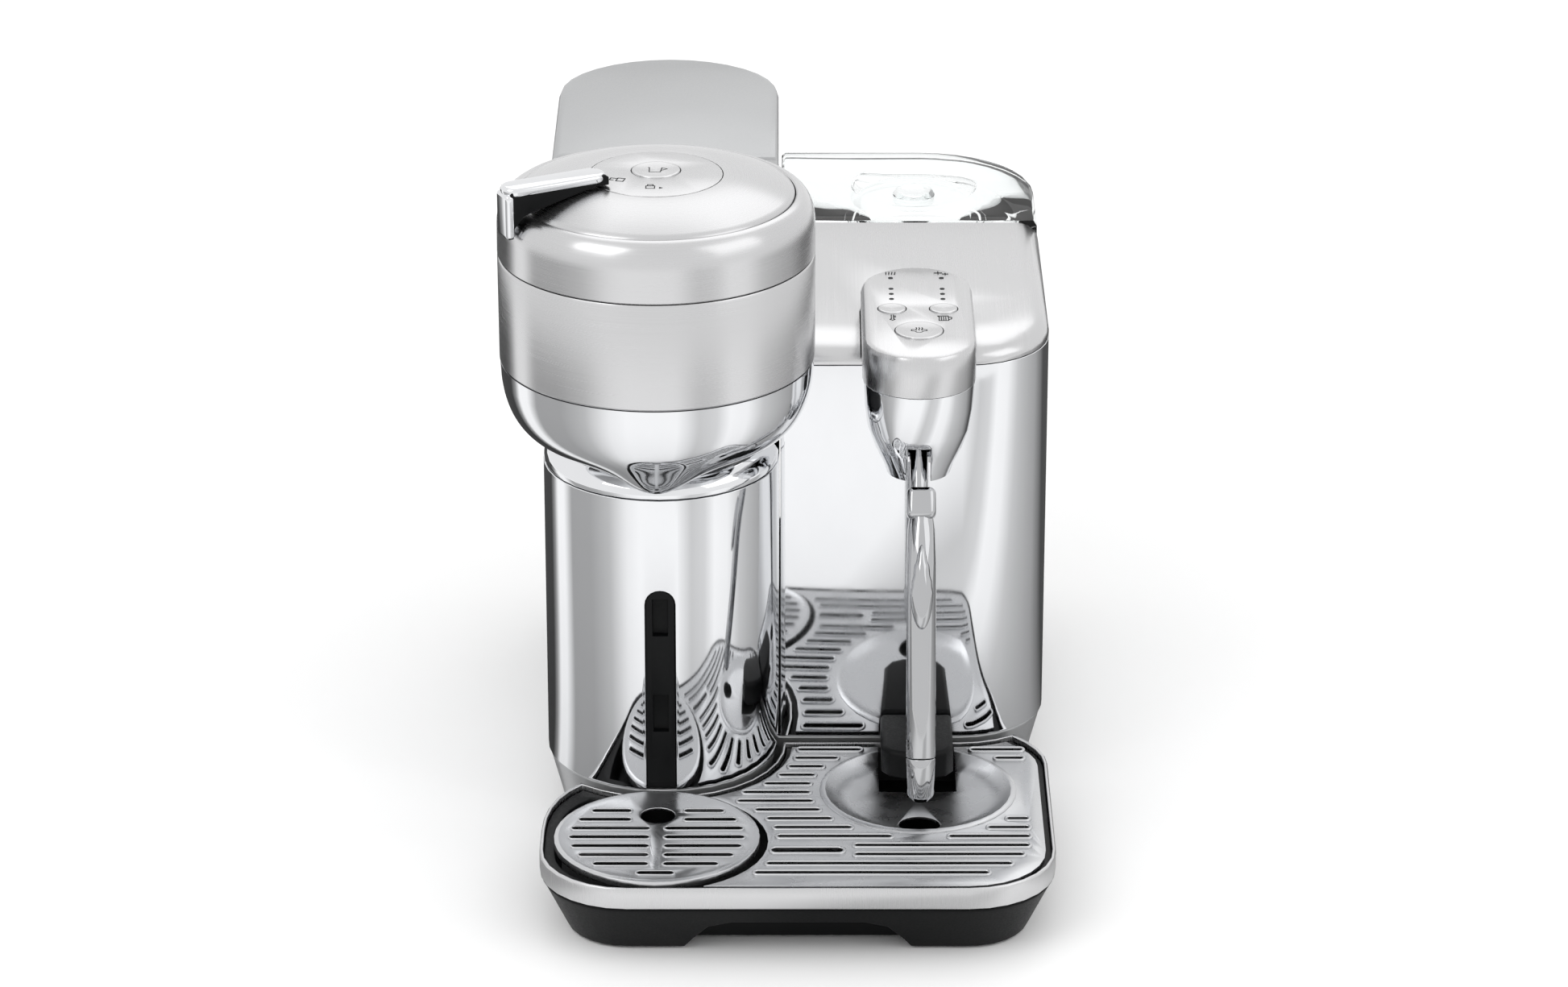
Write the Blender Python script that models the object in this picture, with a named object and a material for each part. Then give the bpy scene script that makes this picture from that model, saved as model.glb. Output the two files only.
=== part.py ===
"""Pod coffee machine with a steam wand, modelled as separate pieces on their joints.

Run with: blender --background --python part.py
The frame has +Z up, the front towards -Y, and the origin on the table under the middle
of the machine. Lengths are written in millimetres and become metres as a mesh is made.
"""
import bmesh
import bpy
from math import acos, asin, cos, degrees, exp, pi, radians, sin, sqrt

MM = 0.001
GAP = 0.3                      # clearance between neighbouring pieces

# Left tower: the polished column in front, the capsule bin behind
TOWER_X = -53.8
TOWER_HALF = 53.7
COLUMN_Y = -60.5
COLUMN_TOP = 181.3
BIN_FRONT = 62.0
BIN_TOP = 282.6
BIN_SEAM = 234.0
TOWER_REAR = 210.2
CHUTE_HALF = 36.0              # opening that used capsules drop through
CHUTE_LOW = 238.0
CHUTE_HIGH = 272.0
RAIL_HALF = 6.5
RAIL_TOP = 137.0

# Right body: front panel, hood and water tank
BODY_RIGHT = 124.0
PANEL_Y = -56.4
CORNER_R = 40.0
SHEET = 1.2
SHEET_BOTTOM = 38.1
HOOD_EDGE = 224.0
HOOD_TOP = 234.4
HOOD_REAR = 104.0
TANK_REAR = 207.0
TANK_CORNER = 55.0
TANK_RECESS = (65.5, 157.4)
INLET_X = (-40.0, -10.0)
INLET_Z = (10.0, 30.0)

# Drip tray
TRAY_LEFT = -107.5
TRAY_FRONT = -209.8
TRAY_CORNER = 40.0
TRAY_CLEAR = 1.5               # clearance to the column and to the body's corner
TRAY_RIGHT_END = -80.0         # where the right side starts to turn in to the body
TRAY_TURN_X = 110.0            # where that turn meets the body's corner
TRAY_LEFT_END = -150.0         # where the left side starts to turn in to the column
TRAY_LEAVE_X = -91.6           # where that turn meets the column
TRAY_RIM = 35.9
BAND_BOTTOM = 25.9
TRAY_BOTTOM = 1.2
TRAY_MID = 8.3
GRILLE_TOP = 35.3
GRILLE_THICK = 1.4
PULL_TOP = 17.0                # top of the finger pull's arch
FLOAT = (20.0, -178.0)
FLOAT_R = 9.0
FIRST_ROW = -192.5             # front row of the grille's slots
SLOT_PITCH = 9.05
SLOT_HALF = 1.7
SLOT_CORNER_Y = -158.0         # behind this the rows reach the field's straight side
WIDE_SLOT = (-3.7, 28.8, -170.3)

# Cup support and jug dish
SUPPORT = (-55.0, -160.8)
SUPPORT_R = 46.3
SUPPORT_TOP = 38.4
DISH = (63.5, -108.4)
DISH_R = 43.6
DISH_FLOOR = 30.6
SUPPORT_ROWS = 8
SUPPORT_PITCH = 8.9

# Brewing head
HEAD = (-54.0, -108.7)
HEAD_R = 70.0
BOWL_BOTTOM = 211.7
BAND_LOW = 250.4
BAND_HIGH = 299.2
CAP_TOP = 326.2
DOME_R = 61.0
DISC_R = 29.4
DISC_TOP = 334.5
BUTTON_BACK = 5.0              # brew button's distance behind the head's axis
LEVER_ANGLE = 207.0
LEVER_TOP = 340.0
MOTOR_BACK = 50.0              # motor's distance behind the head's axis
SPINDLE_R = 8.4
PULLEY_R = 6.0
LID_HINGE = (TOWER_X, -37.5, 301.0)

# Steam pod and wand
POD_X = 62.8
POD_Y = -82.2
POD_R = 25.5
POD_REAR = 10.0
POD_LOW = 227.8
POD_TOP = 247.6
NECK_LOW = 183.3
NECK_R = 14.3
WAND_PIVOT = (POD_X, -84.0, 196.0)


# ---------------------------------------------------------------- scene and finishes

def clear_scene():
    for old in list(bpy.data.objects):
        bpy.data.objects.remove(old, do_unlink=True)


def finish(name, grey, roughness, metallic):
    """A plain material of one grey or colour."""
    colour = grey if isinstance(grey, tuple) else (grey, grey, grey)
    material = bpy.data.materials.new(name)
    material.use_nodes = True
    shader = material.node_tree.nodes["Principled BSDF"]
    shader.inputs["Base Color"].default_value = (*colour, 1.0)
    shader.inputs["Roughness"].default_value = roughness
    shader.inputs["Metallic"].default_value = metallic
    material.diffuse_color = (*colour, 1.0)
    return material


def empty(name, place):
    """An empty on a joint's axis, which the moving pieces hang from."""
    mover = bpy.data.objects.new(name, None)
    mover.location = [value * MM for value in place]
    bpy.context.collection.objects.link(mover)
    return mover


def piece(name, bm, material, mover=None):
    """Turn a mesh drawn in millimetres into a named object, hung from its mover."""
    origin = [value / MM for value in mover.location] if mover else (0, 0, 0)
    bmesh.ops.recalc_face_normals(bm, faces=bm.faces)
    bmesh.ops.translate(bm, verts=bm.verts, vec=[-value for value in origin])
    bmesh.ops.scale(bm, verts=bm.verts, vec=(MM, MM, MM))
    mesh = bpy.data.meshes.new(name)
    bm.to_mesh(mesh)
    bm.free()
    mesh.materials.append(material)
    mesh.shade_smooth()
    mesh.set_sharp_from_angle(angle=radians(32))
    item = bpy.data.objects.new(name, mesh)
    bpy.context.collection.objects.link(item)
    item.parent = mover
    return item


def combine(item, bm, operation="DIFFERENCE"):
    """Cut a piece, or join to it, with a hidden second shape."""
    tool = piece(item.name + "_" + operation.lower(), bm, item.data.materials[0])
    tool.hide_render = True
    tool.display_type = "WIRE"
    modifier = item.modifiers.new(operation.title(), "BOOLEAN")
    modifier.operation = operation
    modifier.solver = "EXACT"
    modifier.object = tool


# ---------------------------------------------------------------- outlines, all anticlockwise

def arc(centre, radius, start, end, steps):
    """Points on a circle between two angles in degrees."""
    turns = [radians(start + (end - start) * i / steps) for i in range(steps + 1)]
    return [(centre[0] + radius * cos(t), centre[1] + radius * sin(t)) for t in turns]


def bend(start, control, end, steps):
    """Points along a quadratic curve, without its first point."""
    points = []
    for i in range(1, steps + 1):
        t = i / steps
        weights = ((1 - t) ** 2, 2 * t * (1 - t), t * t)
        points.append(tuple(sum(w * p[k] for w, p in zip(weights, (start, control, end)))
                            for k in range(2)))
    return points


def inset(outline, distance):
    """Move an anticlockwise outline inwards by a distance, with mitred corners."""
    moved = []
    for i, (x, y) in enumerate(outline):
        before, after = outline[i - 1], outline[(i + 1) % len(outline)]
        normals = []
        for (ax, ay), (bx, by) in ((before, (x, y)), ((x, y), after)):
            length = sqrt((bx - ax) ** 2 + (by - ay) ** 2)
            normals.append((-(by - ay) / length, (bx - ax) / length))
        (px, py), (qx, qy) = normals
        scale = distance / (1 + px * qx + py * qy)
        moved.append((x + (px + qx) * scale, y + (py + qy) * scale))
    return moved


def rectangle(x0, x1, y0, y1):
    return [(x0, y0), (x1, y0), (x1, y1), (x0, y1)]


def tray_plan(inward=0.0):
    """Round corners in front, wrapped round the column and the body's corner behind.

    Each stretch is worked out again for an outline drawn further in, so that none is turned back."""
    left = TRAY_LEFT + inward
    right = BODY_RIGHT - inward
    corner = TRAY_CORNER - inward
    points = arc((TRAY_LEFT + TRAY_CORNER, TRAY_FRONT + TRAY_CORNER), corner, 180, 270, 7)
    points += arc((BODY_RIGHT - TRAY_CORNER, TRAY_FRONT + TRAY_CORNER), corner, 270, 360, 7)
    body_x, body_y = BODY_RIGHT - CORNER_R, PANEL_Y + CORNER_R
    body_r = CORNER_R + TRAY_CLEAR + inward
    turn_x = TRAY_TURN_X - 0.9 * inward
    turn_y = body_y - sqrt(body_r ** 2 - (turn_x - body_x) ** 2)
    start = (right, TRAY_RIGHT_END - 0.5 * inward)
    points += [start] + bend(start, (right, (start[1] + turn_y) / 2), (turn_x, turn_y), 4)
    first = -degrees(asin((body_y - turn_y) / body_r))
    points += arc((body_x, body_y), body_r, first, -90, 3)[1:]
    column_r = TOWER_HALF + TRAY_CLEAR + inward
    meet = degrees(asin((body_y - body_r - COLUMN_Y) / column_r))
    leave_x = TRAY_LEAVE_X + 0.75 * inward
    leave = -180 + degrees(acos((TOWER_X - leave_x) / column_r))
    points += arc((TOWER_X, COLUMN_Y), column_r, meet, leave, 12)
    control = (left, points[-1][1] - 17.2 * (1 - inward / 25))
    return points + bend(points[-1], control, (left, TRAY_LEFT_END), 5)


def machine_plan():
    """Outline of the standing body: column, panel corner, tank corner and bin."""
    points = arc((TOWER_X, COLUMN_Y), TOWER_HALF, 180, 360, 14)
    points += [(-0.1, PANEL_Y)]
    points += arc((BODY_RIGHT - CORNER_R, PANEL_Y + CORNER_R), CORNER_R, 270, 360, 7)
    points += arc((BODY_RIGHT - TANK_CORNER, TANK_REAR - TANK_CORNER), TANK_CORNER, 0, 90, 8)
    points += [(-30, TANK_REAR)]
    points += bin_plan()[12:]
    return points


def bin_plan(front=BIN_FRONT, depth=50.0):
    """The bin's plan: square to the machine in front and D-shaped behind."""
    points = [(TOWER_X - TOWER_HALF, front), (TOWER_X + TOWER_HALF, front)]
    steps = 16
    for i in range(steps + 1):
        t = pi * i / steps
        points.append((TOWER_X + TOWER_HALF * cos(t), TOWER_REAR - depth + depth * sin(t)))
    return points


def hood_plan(front=0.0, side=0.0):
    """The hood's outline, with its front and right edges drawn in."""
    corner = CORNER_R - (front + side) / 4
    centre = (BODY_RIGHT - side - corner, PANEL_Y + front + corner)
    points = [(0.6, PANEL_Y + front)] + arc(centre, corner, 270, 360, 7)
    return points + [(BODY_RIGHT - side, HOOD_REAR), (0.6, HOOD_REAR)]


def tank_plan():
    centre = (BODY_RIGHT - TANK_CORNER, TANK_REAR - TANK_CORNER)
    points = [(0.6, HOOD_REAR + 0.6), (BODY_RIGHT, HOOD_REAR + 0.6)]
    return points + arc(centre, TANK_CORNER, 0, 90, 9) + [(0.6, TANK_REAR)]


def belt_plan(front_radius, rear_radius):
    """The belt's loop round the holder's spindle and the motor's pulley."""
    slope = degrees(asin((front_radius - rear_radius) / MOTOR_BACK))
    rear = arc((HEAD[0], HEAD[1] + MOTOR_BACK), rear_radius, slope, 180 - slope, 8)
    return rear + arc(HEAD, front_radius, 180 - slope, 360 + slope, 12)


def pod_plan():
    """The steam pod's plan: straight sides between two round ends."""
    front = arc((POD_X, POD_Y), POD_R, 180, 360, 14)
    return front + arc((POD_X, POD_REAR - POD_R), POD_R, 0, 180, 14)


# ---------------------------------------------------------------- solids

def loft(bm, rings, hollow=False):
    """Join outlines at their heights; the ends are capped, or joined to each other."""
    loops = [[bm.verts.new((x, y, z)) for x, y in outline] for outline, z in rings]
    count = len(loops[0])
    pairs = list(zip(loops, loops[1:]))
    if hollow:
        pairs.append((loops[-1], loops[0]))
    else:
        bm.faces.new(loops[0][::-1])
        bm.faces.new(loops[-1])
    for low, high in pairs:
        for i in range(count):
            j = (i + 1) % count
            bm.faces.new((low[i], low[j], high[j], high[i]))
    return bm


def prism(bm, outline, low, high):
    return loft(bm, [(outline, low), (outline, high)])


def box(bm, x0, x1, y0, y1, z0, z1):
    return prism(bm, rectangle(x0, x1, y0, y1), z0, z1)


def turned(bm, profile, centre, steps=36):
    """Spin a profile of radius and height; it closes on the axis or on itself."""
    verts = [bm.verts.new((centre[0] + r, centre[1], z)) for r, z in profile]
    sides = zip(verts, verts[1:] + verts[:1], profile, profile[1:] + profile[:1])
    edges = [bm.edges.new((a, b)) for a, b, p, q in sides if p[0] > 0 or q[0] > 0]
    bmesh.ops.spin(bm, geom=verts + edges, cent=(centre[0], centre[1], 0), axis=(0, 0, 1),
                   dvec=(0, 0, 0), angle=2 * pi, steps=steps, use_merge=True)
    bmesh.ops.remove_doubles(bm, verts=bm.verts, dist=0.001)
    return bm


def upright(bm, outline, front, rear):
    """A plate whose outline is drawn in x and z, from its front to its rear."""
    faces = [[bm.verts.new((x, y, z)) for x, z in outline] for y in (front, rear)]
    bm.faces.new(faces[0])
    bm.faces.new(faces[1][::-1])
    for i in range(len(outline)):
        j = (i + 1) % len(outline)
        bm.faces.new((faces[0][j], faces[0][i], faces[1][i], faces[1][j]))
    return bm


def disc(bm, centre, radius, low, high, steps=28):
    return prism(bm, arc(centre, radius, 0, 360 - 360 / steps, steps - 1), low, high)


def swept(bm, route, radii, x, sides=14):
    """A round bar along a route of (y, z) points in the plane of one x."""
    loops = []
    for i, (y, z) in enumerate(route):
        ay, az = route[max(i - 1, 0)]
        by, bz = route[min(i + 1, len(route) - 1)]
        length = sqrt((by - ay) ** 2 + (bz - az) ** 2)
        ny, nz = (bz - az) / length, -(by - ay) / length
        loop = []
        for k in range(sides):
            turn = 2 * pi * k / sides
            side, out = radii[i] * cos(turn), radii[i] * sin(turn)
            loop.append(bm.verts.new((x + side, y + out * ny, z + out * nz)))
        loops.append(loop)
    bm.faces.new(loops[0])
    bm.faces.new(loops[-1][::-1])
    for low, high in zip(loops, loops[1:]):
        for i in range(sides):
            j = (i + 1) % sides
            bm.faces.new((low[i], low[j], high[j], high[i]))
    return bm


def sheet_strip(path, thickness):
    """A closed outline for a sheet that follows an open path, thick to its left."""
    inner = []
    for i, (x, y) in enumerate(path):
        ax, ay = path[max(i - 1, 0)]
        bx, by = path[min(i + 1, len(path) - 1)]
        length = sqrt((bx - ax) ** 2 + (by - ay) ** 2)
        inner.append((x - (by - ay) / length * thickness, y + (bx - ax) / length * thickness))
    return path + inner[::-1]


# ---------------------------------------------------------------- drip tray

def make_tray_tub(material, mover):
    """Black tub on a drafted skirt, hollow underneath, with an arched finger pull."""
    shape = ((17, 17.4), (16, TRAY_BOTTOM), (12.3, TRAY_BOTTOM), (2.4, BAND_BOTTOM - 4),
             (0.8, BAND_BOTTOM - 1.4), (2, BAND_BOTTOM - GAP), (2, 33.5), (7, 33.5), (9, 20))
    rings = [(tray_plan(inward), height) for inward, height in shape]
    tub = piece("tray_tub", loft(bmesh.new(), rings), material, mover)
    profile = [(-53, -2), (53, -2), (47, 6), (40, 14), (29.5, PULL_TOP), (-29.5, PULL_TOP), (-40, 14),
               (-47, 6)]
    arch = [(TRAY_MID + x, z) for x, z in profile]
    combine(tub, upright(bmesh.new(), arch, TRAY_FRONT - 5, TRAY_FRONT + 22))


def make_tray_parts(black, steel, red, mover):
    """Band round the rim, the plate behind the pull, and the full-tray float."""
    shape = ((0.2, BAND_BOTTOM), (0, BAND_BOTTOM + 1), (0, TRAY_RIM - 1), (0.6, TRAY_RIM),
             (1.6, TRAY_RIM), (1.6, BAND_BOTTOM))
    band = [(tray_plan(inward), height) for inward, height in shape]
    rim = piece("tray_band", loft(bmesh.new(), band, hollow=True), steel, mover)
    combine(rim, disc(bmesh.new(), SUPPORT, SUPPORT_R + 0.8, 33.9, 40, 40))
    pull = box(bmesh.new(), TRAY_MID - 58, TRAY_MID + 58, -190, -187, 3, PULL_TOP)
    piece("tray_pull_plate", pull, black, mover)
    piece("tray_float", disc(bmesh.new(), FLOAT, FLOAT_R, 20.5, 28, 16), red, mover)


def slot_spans(y):
    """Left and right ends of the grille's slots in the row at y."""
    left, right = TRAY_LEFT + 11, BODY_RIGHT - 11
    if y < SLOT_CORNER_Y:
        right += sqrt(TRAY_CORNER ** 2 - (y - SLOT_CORNER_Y) ** 2) - TRAY_CORNER
    if abs(y - WIDE_SLOT[2]) < 6:
        left = WIDE_SLOT[1] + 5
    spans = [(left, right)]
    for (cx, cy), radius in ((SUPPORT, SUPPORT_R + 8), (DISH, DISH_R + 6),
                             ((TOWER_X, COLUMN_Y), TOWER_HALF + 9)):
        reach = radius ** 2 - (y - cy) ** 2
        if reach <= 0:
            continue
        half = sqrt(reach)
        kept = []
        for a, b in spans:
            kept += [(a, min(b, cx - half)), (max(a, cx + half), b)]
        spans = kept
    return [(a, b) for a, b in spans if b - a > 9 and a > -50]


def make_grille(material, mover):
    """Pressed plate with slots, a round gap for the support and a dish for the jug."""
    plate = prism(bmesh.new(), tray_plan(4.6), GRILLE_TOP - GRILLE_THICK, GRILLE_TOP)
    grille = piece("tray_grille", plate, material, mover)
    opening = disc(bmesh.new(), (SUPPORT[0] + 1, SUPPORT[1]), SUPPORT_R + 2.7, 30, 40, 40)
    combine(grille, opening)
    combine(grille, box(bmesh.new(), -125, SUPPORT[0], -215, -100, 29, 41))
    combine(grille, disc(bmesh.new(), DISH, DISH_R - 1, 30, 40, 36))
    dish = [(0, DISH_FLOOR - 1.3), (0, DISH_FLOOR), (32, DISH_FLOOR + 1), (40, 34.2),
            (DISH_R - 1, GRILLE_TOP + 1.1), (DISH_R + 1.5, GRILLE_TOP + 0.5),
            (DISH_R + 1.5, GRILLE_TOP - 1), (40.5, 32.6), (32, DISH_FLOOR - 0.3)]
    combine(grille, turned(bmesh.new(), dish, DISH, 36), "UNION")
    holes = box(bmesh.new(), 45.8, 81.2, -101.5, -50, 26, 41)
    disc(holes, (DISH[0], -137), 9.5, 26, 41, 20)
    box(holes, WIDE_SLOT[0], WIDE_SLOT[1], WIDE_SLOT[2] - 2.7, WIDE_SLOT[2] + 2.7, 33.0, 36.2)
    row = FIRST_ROW
    while row < -62:
        for a, b in slot_spans(row):
            if not (b > 44 and a < 83 and row > -102):
                box(holes, a, b, row - SLOT_HALF, row + SLOT_HALF, 33.0, 36.2)
        row += SLOT_PITCH
    combine(grille, holes)


def make_support(material, mover):
    """Round cup support with slotted rows and a drain hole, on its own lip."""
    lip = [(0, 36.6), (0, 37.8), (SUPPORT_R - 3, 37.8), (SUPPORT_R - 2, SUPPORT_TOP),
           (SUPPORT_R, SUPPORT_TOP - 0.6), (SUPPORT_R, 34.4), (SUPPORT_R - 1.4, 34.4),
           (SUPPORT_R - 1.4, 36.6)]
    support = piece("cup_support", turned(bmesh.new(), lip, SUPPORT, 40), material, mover)
    holes = disc(bmesh.new(), (SUPPORT[0], SUPPORT[1] + 21), 8, 34, 40, 18)
    for row in range(SUPPORT_ROWS):
        y = SUPPORT[1] + 25.6 - SUPPORT_PITCH * row
        half = sqrt((SUPPORT_R - 7) ** 2 - (y - SUPPORT[1]) ** 2)
        inner = 12 if row < 2 else 3.4
        spans = [(-half, -inner), (inner, half)] if row < SUPPORT_ROWS - 1 else [(-8.2, 8.2)]
        for a, b in spans:
            box(holes, SUPPORT[0] + a, SUPPORT[0] + b, y - 1.8, y + 1.8, 34, 40)
    combine(support, holes)


# ---------------------------------------------------------------- standing body

def make_base(black, silver, rubber):
    """Base pan, its silver apron and its feet."""
    plan = machine_plan()
    pan = [(inset(plan, 14), 2.3), (inset(plan, 12.3), 6), (inset(plan, 12.3), 37.4),
           (inset(plan, 15.5), 37.4), (inset(plan, 15.5), 6)]
    piece("base_pan", loft(bmesh.new(), pan), black)
    skirt = [(inset(plan, 8.5), 7), (inset(plan, 0.8), SHEET_BOTTOM - GAP - 1),
             (inset(plan, 1.4), SHEET_BOTTOM - GAP), (inset(plan, 3.6), SHEET_BOTTOM - GAP),
             (inset(plan, 11.4), 7)]
    apron = piece("body_apron", loft(bmesh.new(), skirt, hollow=True), silver)
    combine(apron, box(bmesh.new(), INLET_X[0] - 0.4, INLET_X[1] + 0.4, 190, 215,
                       INLET_Z[0] - 0.4, INLET_Z[1] + 0.4))
    corners = ((-80, -50), (94, -8), (-80, 160), (90, 160))
    for number, corner in enumerate(corners, 1):
        piece(f"rubber_foot_{number}", disc(bmesh.new(), corner, 9, 0, 2.0, 16), rubber)


def tower_plan(rear, steps=20):
    """The tower's outline: half round in front and straight back to the bin."""
    points = arc((TOWER_X, COLUMN_Y), TOWER_HALF, 180, 360, steps)
    return [(TOWER_X - TOWER_HALF, rear)] + points + [(TOWER_X + TOWER_HALF, rear)]


def rail_plan(half, low):
    """Front view of the cup rail: straight sides under a round top."""
    return [(TOWER_X - half, low), (TOWER_X + half, low)] + arc((TOWER_X, RAIL_TOP - RAIL_HALF), half, 0, 180, 10)


def make_column(polished, black, silver):
    """Column sheet, the slotted rail in its front, the cap and the neck above."""
    sheet = prism(bmesh.new(), sheet_strip(tower_plan(BIN_FRONT - 2), SHEET), SHEET_BOTTOM, COLUMN_TOP)
    column = piece("column_shell", sheet, polished)
    front = COLUMN_Y - TOWER_HALF
    combine(column, upright(bmesh.new(), rail_plan(RAIL_HALF + 0.4, 30), front - 4, front + 6))
    rail = piece("cup_rail", upright(bmesh.new(), rail_plan(RAIL_HALF, 39), front + 0.6, front + 7), black)
    windows = bmesh.new()
    for low, high in ((67.1, 85.7), (114.8, 132.9)):
        box(windows, TOWER_X - 3.5, TOWER_X + 3.5, front - 2, front + 5, low, high)
    combine(rail, windows)
    tower = tower_plan(BIN_FRONT - 2.2)
    cap = [(inset(tower, 0.3), COLUMN_TOP + GAP), (inset(tower, 0.3), 184), (inset(tower, 2.2), 188),
           (inset(tower, 7), 191)]
    piece("column_cap", loft(bmesh.new(), cap), polished)
    neck = [(inset(tower, 8.5), 191.3), (inset(tower, 9.5), 211.3)]
    piece("column_neck", loft(bmesh.new(), neck), silver)


def chute(front, rear):
    """Cutter for the opening that used capsules drop through."""
    return box(bmesh.new(), TOWER_X - CHUTE_HALF, TOWER_X + CHUTE_HALF, front, rear, CHUTE_LOW, CHUTE_HIGH)


def make_tower_cover(satin):
    """Cover behind the head, hollowed to the head's curve in front and open behind."""
    radius = HEAD_R + 0.9
    left = TOWER_X - TOWER_HALF
    right = TOWER_X + TOWER_HALF - 0.2
    start = degrees(acos((left - HEAD[0]) / radius))
    stop = degrees(acos((right - HEAD[0]) / radius))
    plan = arc(HEAD, radius, start, stop, 12) + [(right, BIN_FRONT - 2.2), (left, BIN_FRONT - 2.2)]
    rings = [(plan, 211.9), (plan, BIN_TOP - 3), (inset(plan, 1), BIN_TOP - 0.8),
             (inset(plan, 3), BIN_TOP)]
    cover = piece("tower_cover", loft(bmesh.new(), rings), satin)
    wall = inset(plan, 2.4)
    combine(cover, loft(bmesh.new(), [(wall, 205), (wall, BIN_TOP - 3.4)]))
    combine(cover, chute(50, 70))


def make_body_sheets(polished, brushed, black):
    """Front panel that wraps the right side, the hood, and the walls behind them."""
    corner = (BODY_RIGHT - CORNER_R, PANEL_Y + CORNER_R)
    path = [(0.5, PANEL_Y)] + arc(corner, CORNER_R, 270, 360, 10) + [(BODY_RIGHT, HOOD_REAR - 0.4)]
    panel = prism(bmesh.new(), sheet_strip(path, SHEET), SHEET_BOTTOM, HOOD_EDGE - GAP)
    piece("body_panel", panel, polished)
    rings = [(inset(hood_plan(22, 9), SHEET), HOOD_TOP - 1.4), (inset(hood_plan(), SHEET), HOOD_EDGE),
             (hood_plan(), HOOD_EDGE)]
    for i in range(6):
        turn = radians(90 * i / 5)
        height = HOOD_EDGE + 2 + (HOOD_TOP - HOOD_EDGE - 2) * sin(turn)
        rings.append((hood_plan(27 * (1 - cos(turn)), 11 * (1 - cos(turn))), height))
    hood = piece("hood", loft(bmesh.new(), rings), brushed)
    combine(hood, prism(bmesh.new(), inset(pod_plan(), -0.4), POD_LOW - 0.5, 260))
    wall = box(bmesh.new(), 1.2, BODY_RIGHT - 1.6, HOOD_REAR - 3.4, HOOD_REAR - 0.6,
               SHEET_BOTTOM, HOOD_EDGE - 0.5)
    piece("tank_bulkhead", wall, black)
    low = box(bmesh.new(), TOWER_X - 52, TOWER_X + 52, BIN_FRONT - 5, BIN_FRONT - 2.4,
              SHEET_BOTTOM, COLUMN_TOP - GAP)
    piece("bin_bulkhead", low, black)
    dock = [(inset(bin_plan(), 0.6), SHEET_BOTTOM), (inset(bin_plan(), 0.6), 56),
            (inset(bin_plan(), 3), 60)]
    piece("bin_dock", loft(bmesh.new(), dock), black)
    plinth = prism(bmesh.new(), inset(tank_plan(), 1.0), SHEET_BOTTOM, 46)
    piece("tank_plinth", plinth, black)


# ---------------------------------------------------------------- brewing head

def make_bowl(polished):
    """Polished bowl whose front is drawn down into the pouring beak."""
    profile = [(HEAD_R - 0.4, BAND_LOW - GAP), (HEAD_R - 0.9, 242), (67.5, 234), (64.5, 226.5),
               (59, 219.5), (52, 214.5), (46, 212.2), (38, BOWL_BOTTOM), (20, BOWL_BOTTOM)]
    steps = 48
    rings = []
    for radius, height in profile:
        ring = []
        for i in range(steps):
            turn = 2 * pi * i / steps
            x, y = radius * cos(turn), radius * sin(turn)
            across = exp(-(x / 11.5) ** 2)
            along = exp(-((y + 47.5) / 9) ** 2)
            ring.append((HEAD[0] + x, HEAD[1] + y, height - 10.5 * across * along))
        rings.append(ring)
    for radius, height in ((40, 224), (58, 232), (62, 240), (62, BAND_LOW - GAP)):
        ring = [(HEAD[0] + radius * cos(2 * pi * i / steps), HEAD[1] + radius * sin(2 * pi * i / steps),
                 height) for i in range(steps)]
        rings.append(ring)
    bm = bmesh.new()
    outside = [[bm.verts.new(point) for point in ring] for ring in rings[:9]]
    inside = [[bm.verts.new(point) for point in ring] for ring in rings[9:]]
    bm.faces.new(outside[-1])
    bm.faces.new(inside[0])
    for loops in (outside, inside, [inside[-1], outside[0]]):
        for low, high in zip(loops, loops[1:]):
            for i in range(steps):
                j = (i + 1) % steps
                bm.faces.new((low[i], low[j], high[j], high[i]))
    piece("head_bowl", bm, polished)


def make_head(brushed, black, silver):
    """Band, brew chamber, drive motor and belt under the lid."""
    band = [(HEAD_R - 0.6, BAND_LOW), (HEAD_R - 0.1, BAND_LOW + 1), (HEAD_R, BAND_HIGH - 1),
            (HEAD_R - 0.5, BAND_HIGH), (64, BAND_HIGH), (64, BAND_LOW)]
    piece("head_band", turned(bmesh.new(), band, HEAD, 48), brushed)
    chamber = [(34, 240), (61, 240), (61, 243), (38.5, 243), (38.5, 290), (34.5, 290), (34.5, 246),
               (34, 246)]
    shelf = piece("brew_chamber", turned(bmesh.new(), chamber, HEAD, 32), black)
    shaft = (HEAD[0], HEAD[1] + MOTOR_BACK)
    combine(shelf, disc(bmesh.new(), shaft, 2.6, 238, 245, 12))
    bearing = [(9, 229), (14, 229), (14, 236), (9, 236)]
    piece("holder_bearing", turned(bmesh.new(), bearing, HEAD, 24), silver)
    piece("brew_motor", disc(bmesh.new(), shaft, 9.5, 244, 282, 20), black)
    outer = belt_plan(SPINDLE_R + 1.5, PULLEY_R + 1.5)
    inner = belt_plan(SPINDLE_R + GAP, PULLEY_R + GAP)
    belt = [(outer, 236.8), (outer, 239.2), (inner, 239.2), (inner, 236.8)]
    piece("drive_belt", loft(bmesh.new(), belt, hollow=True), black)


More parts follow.
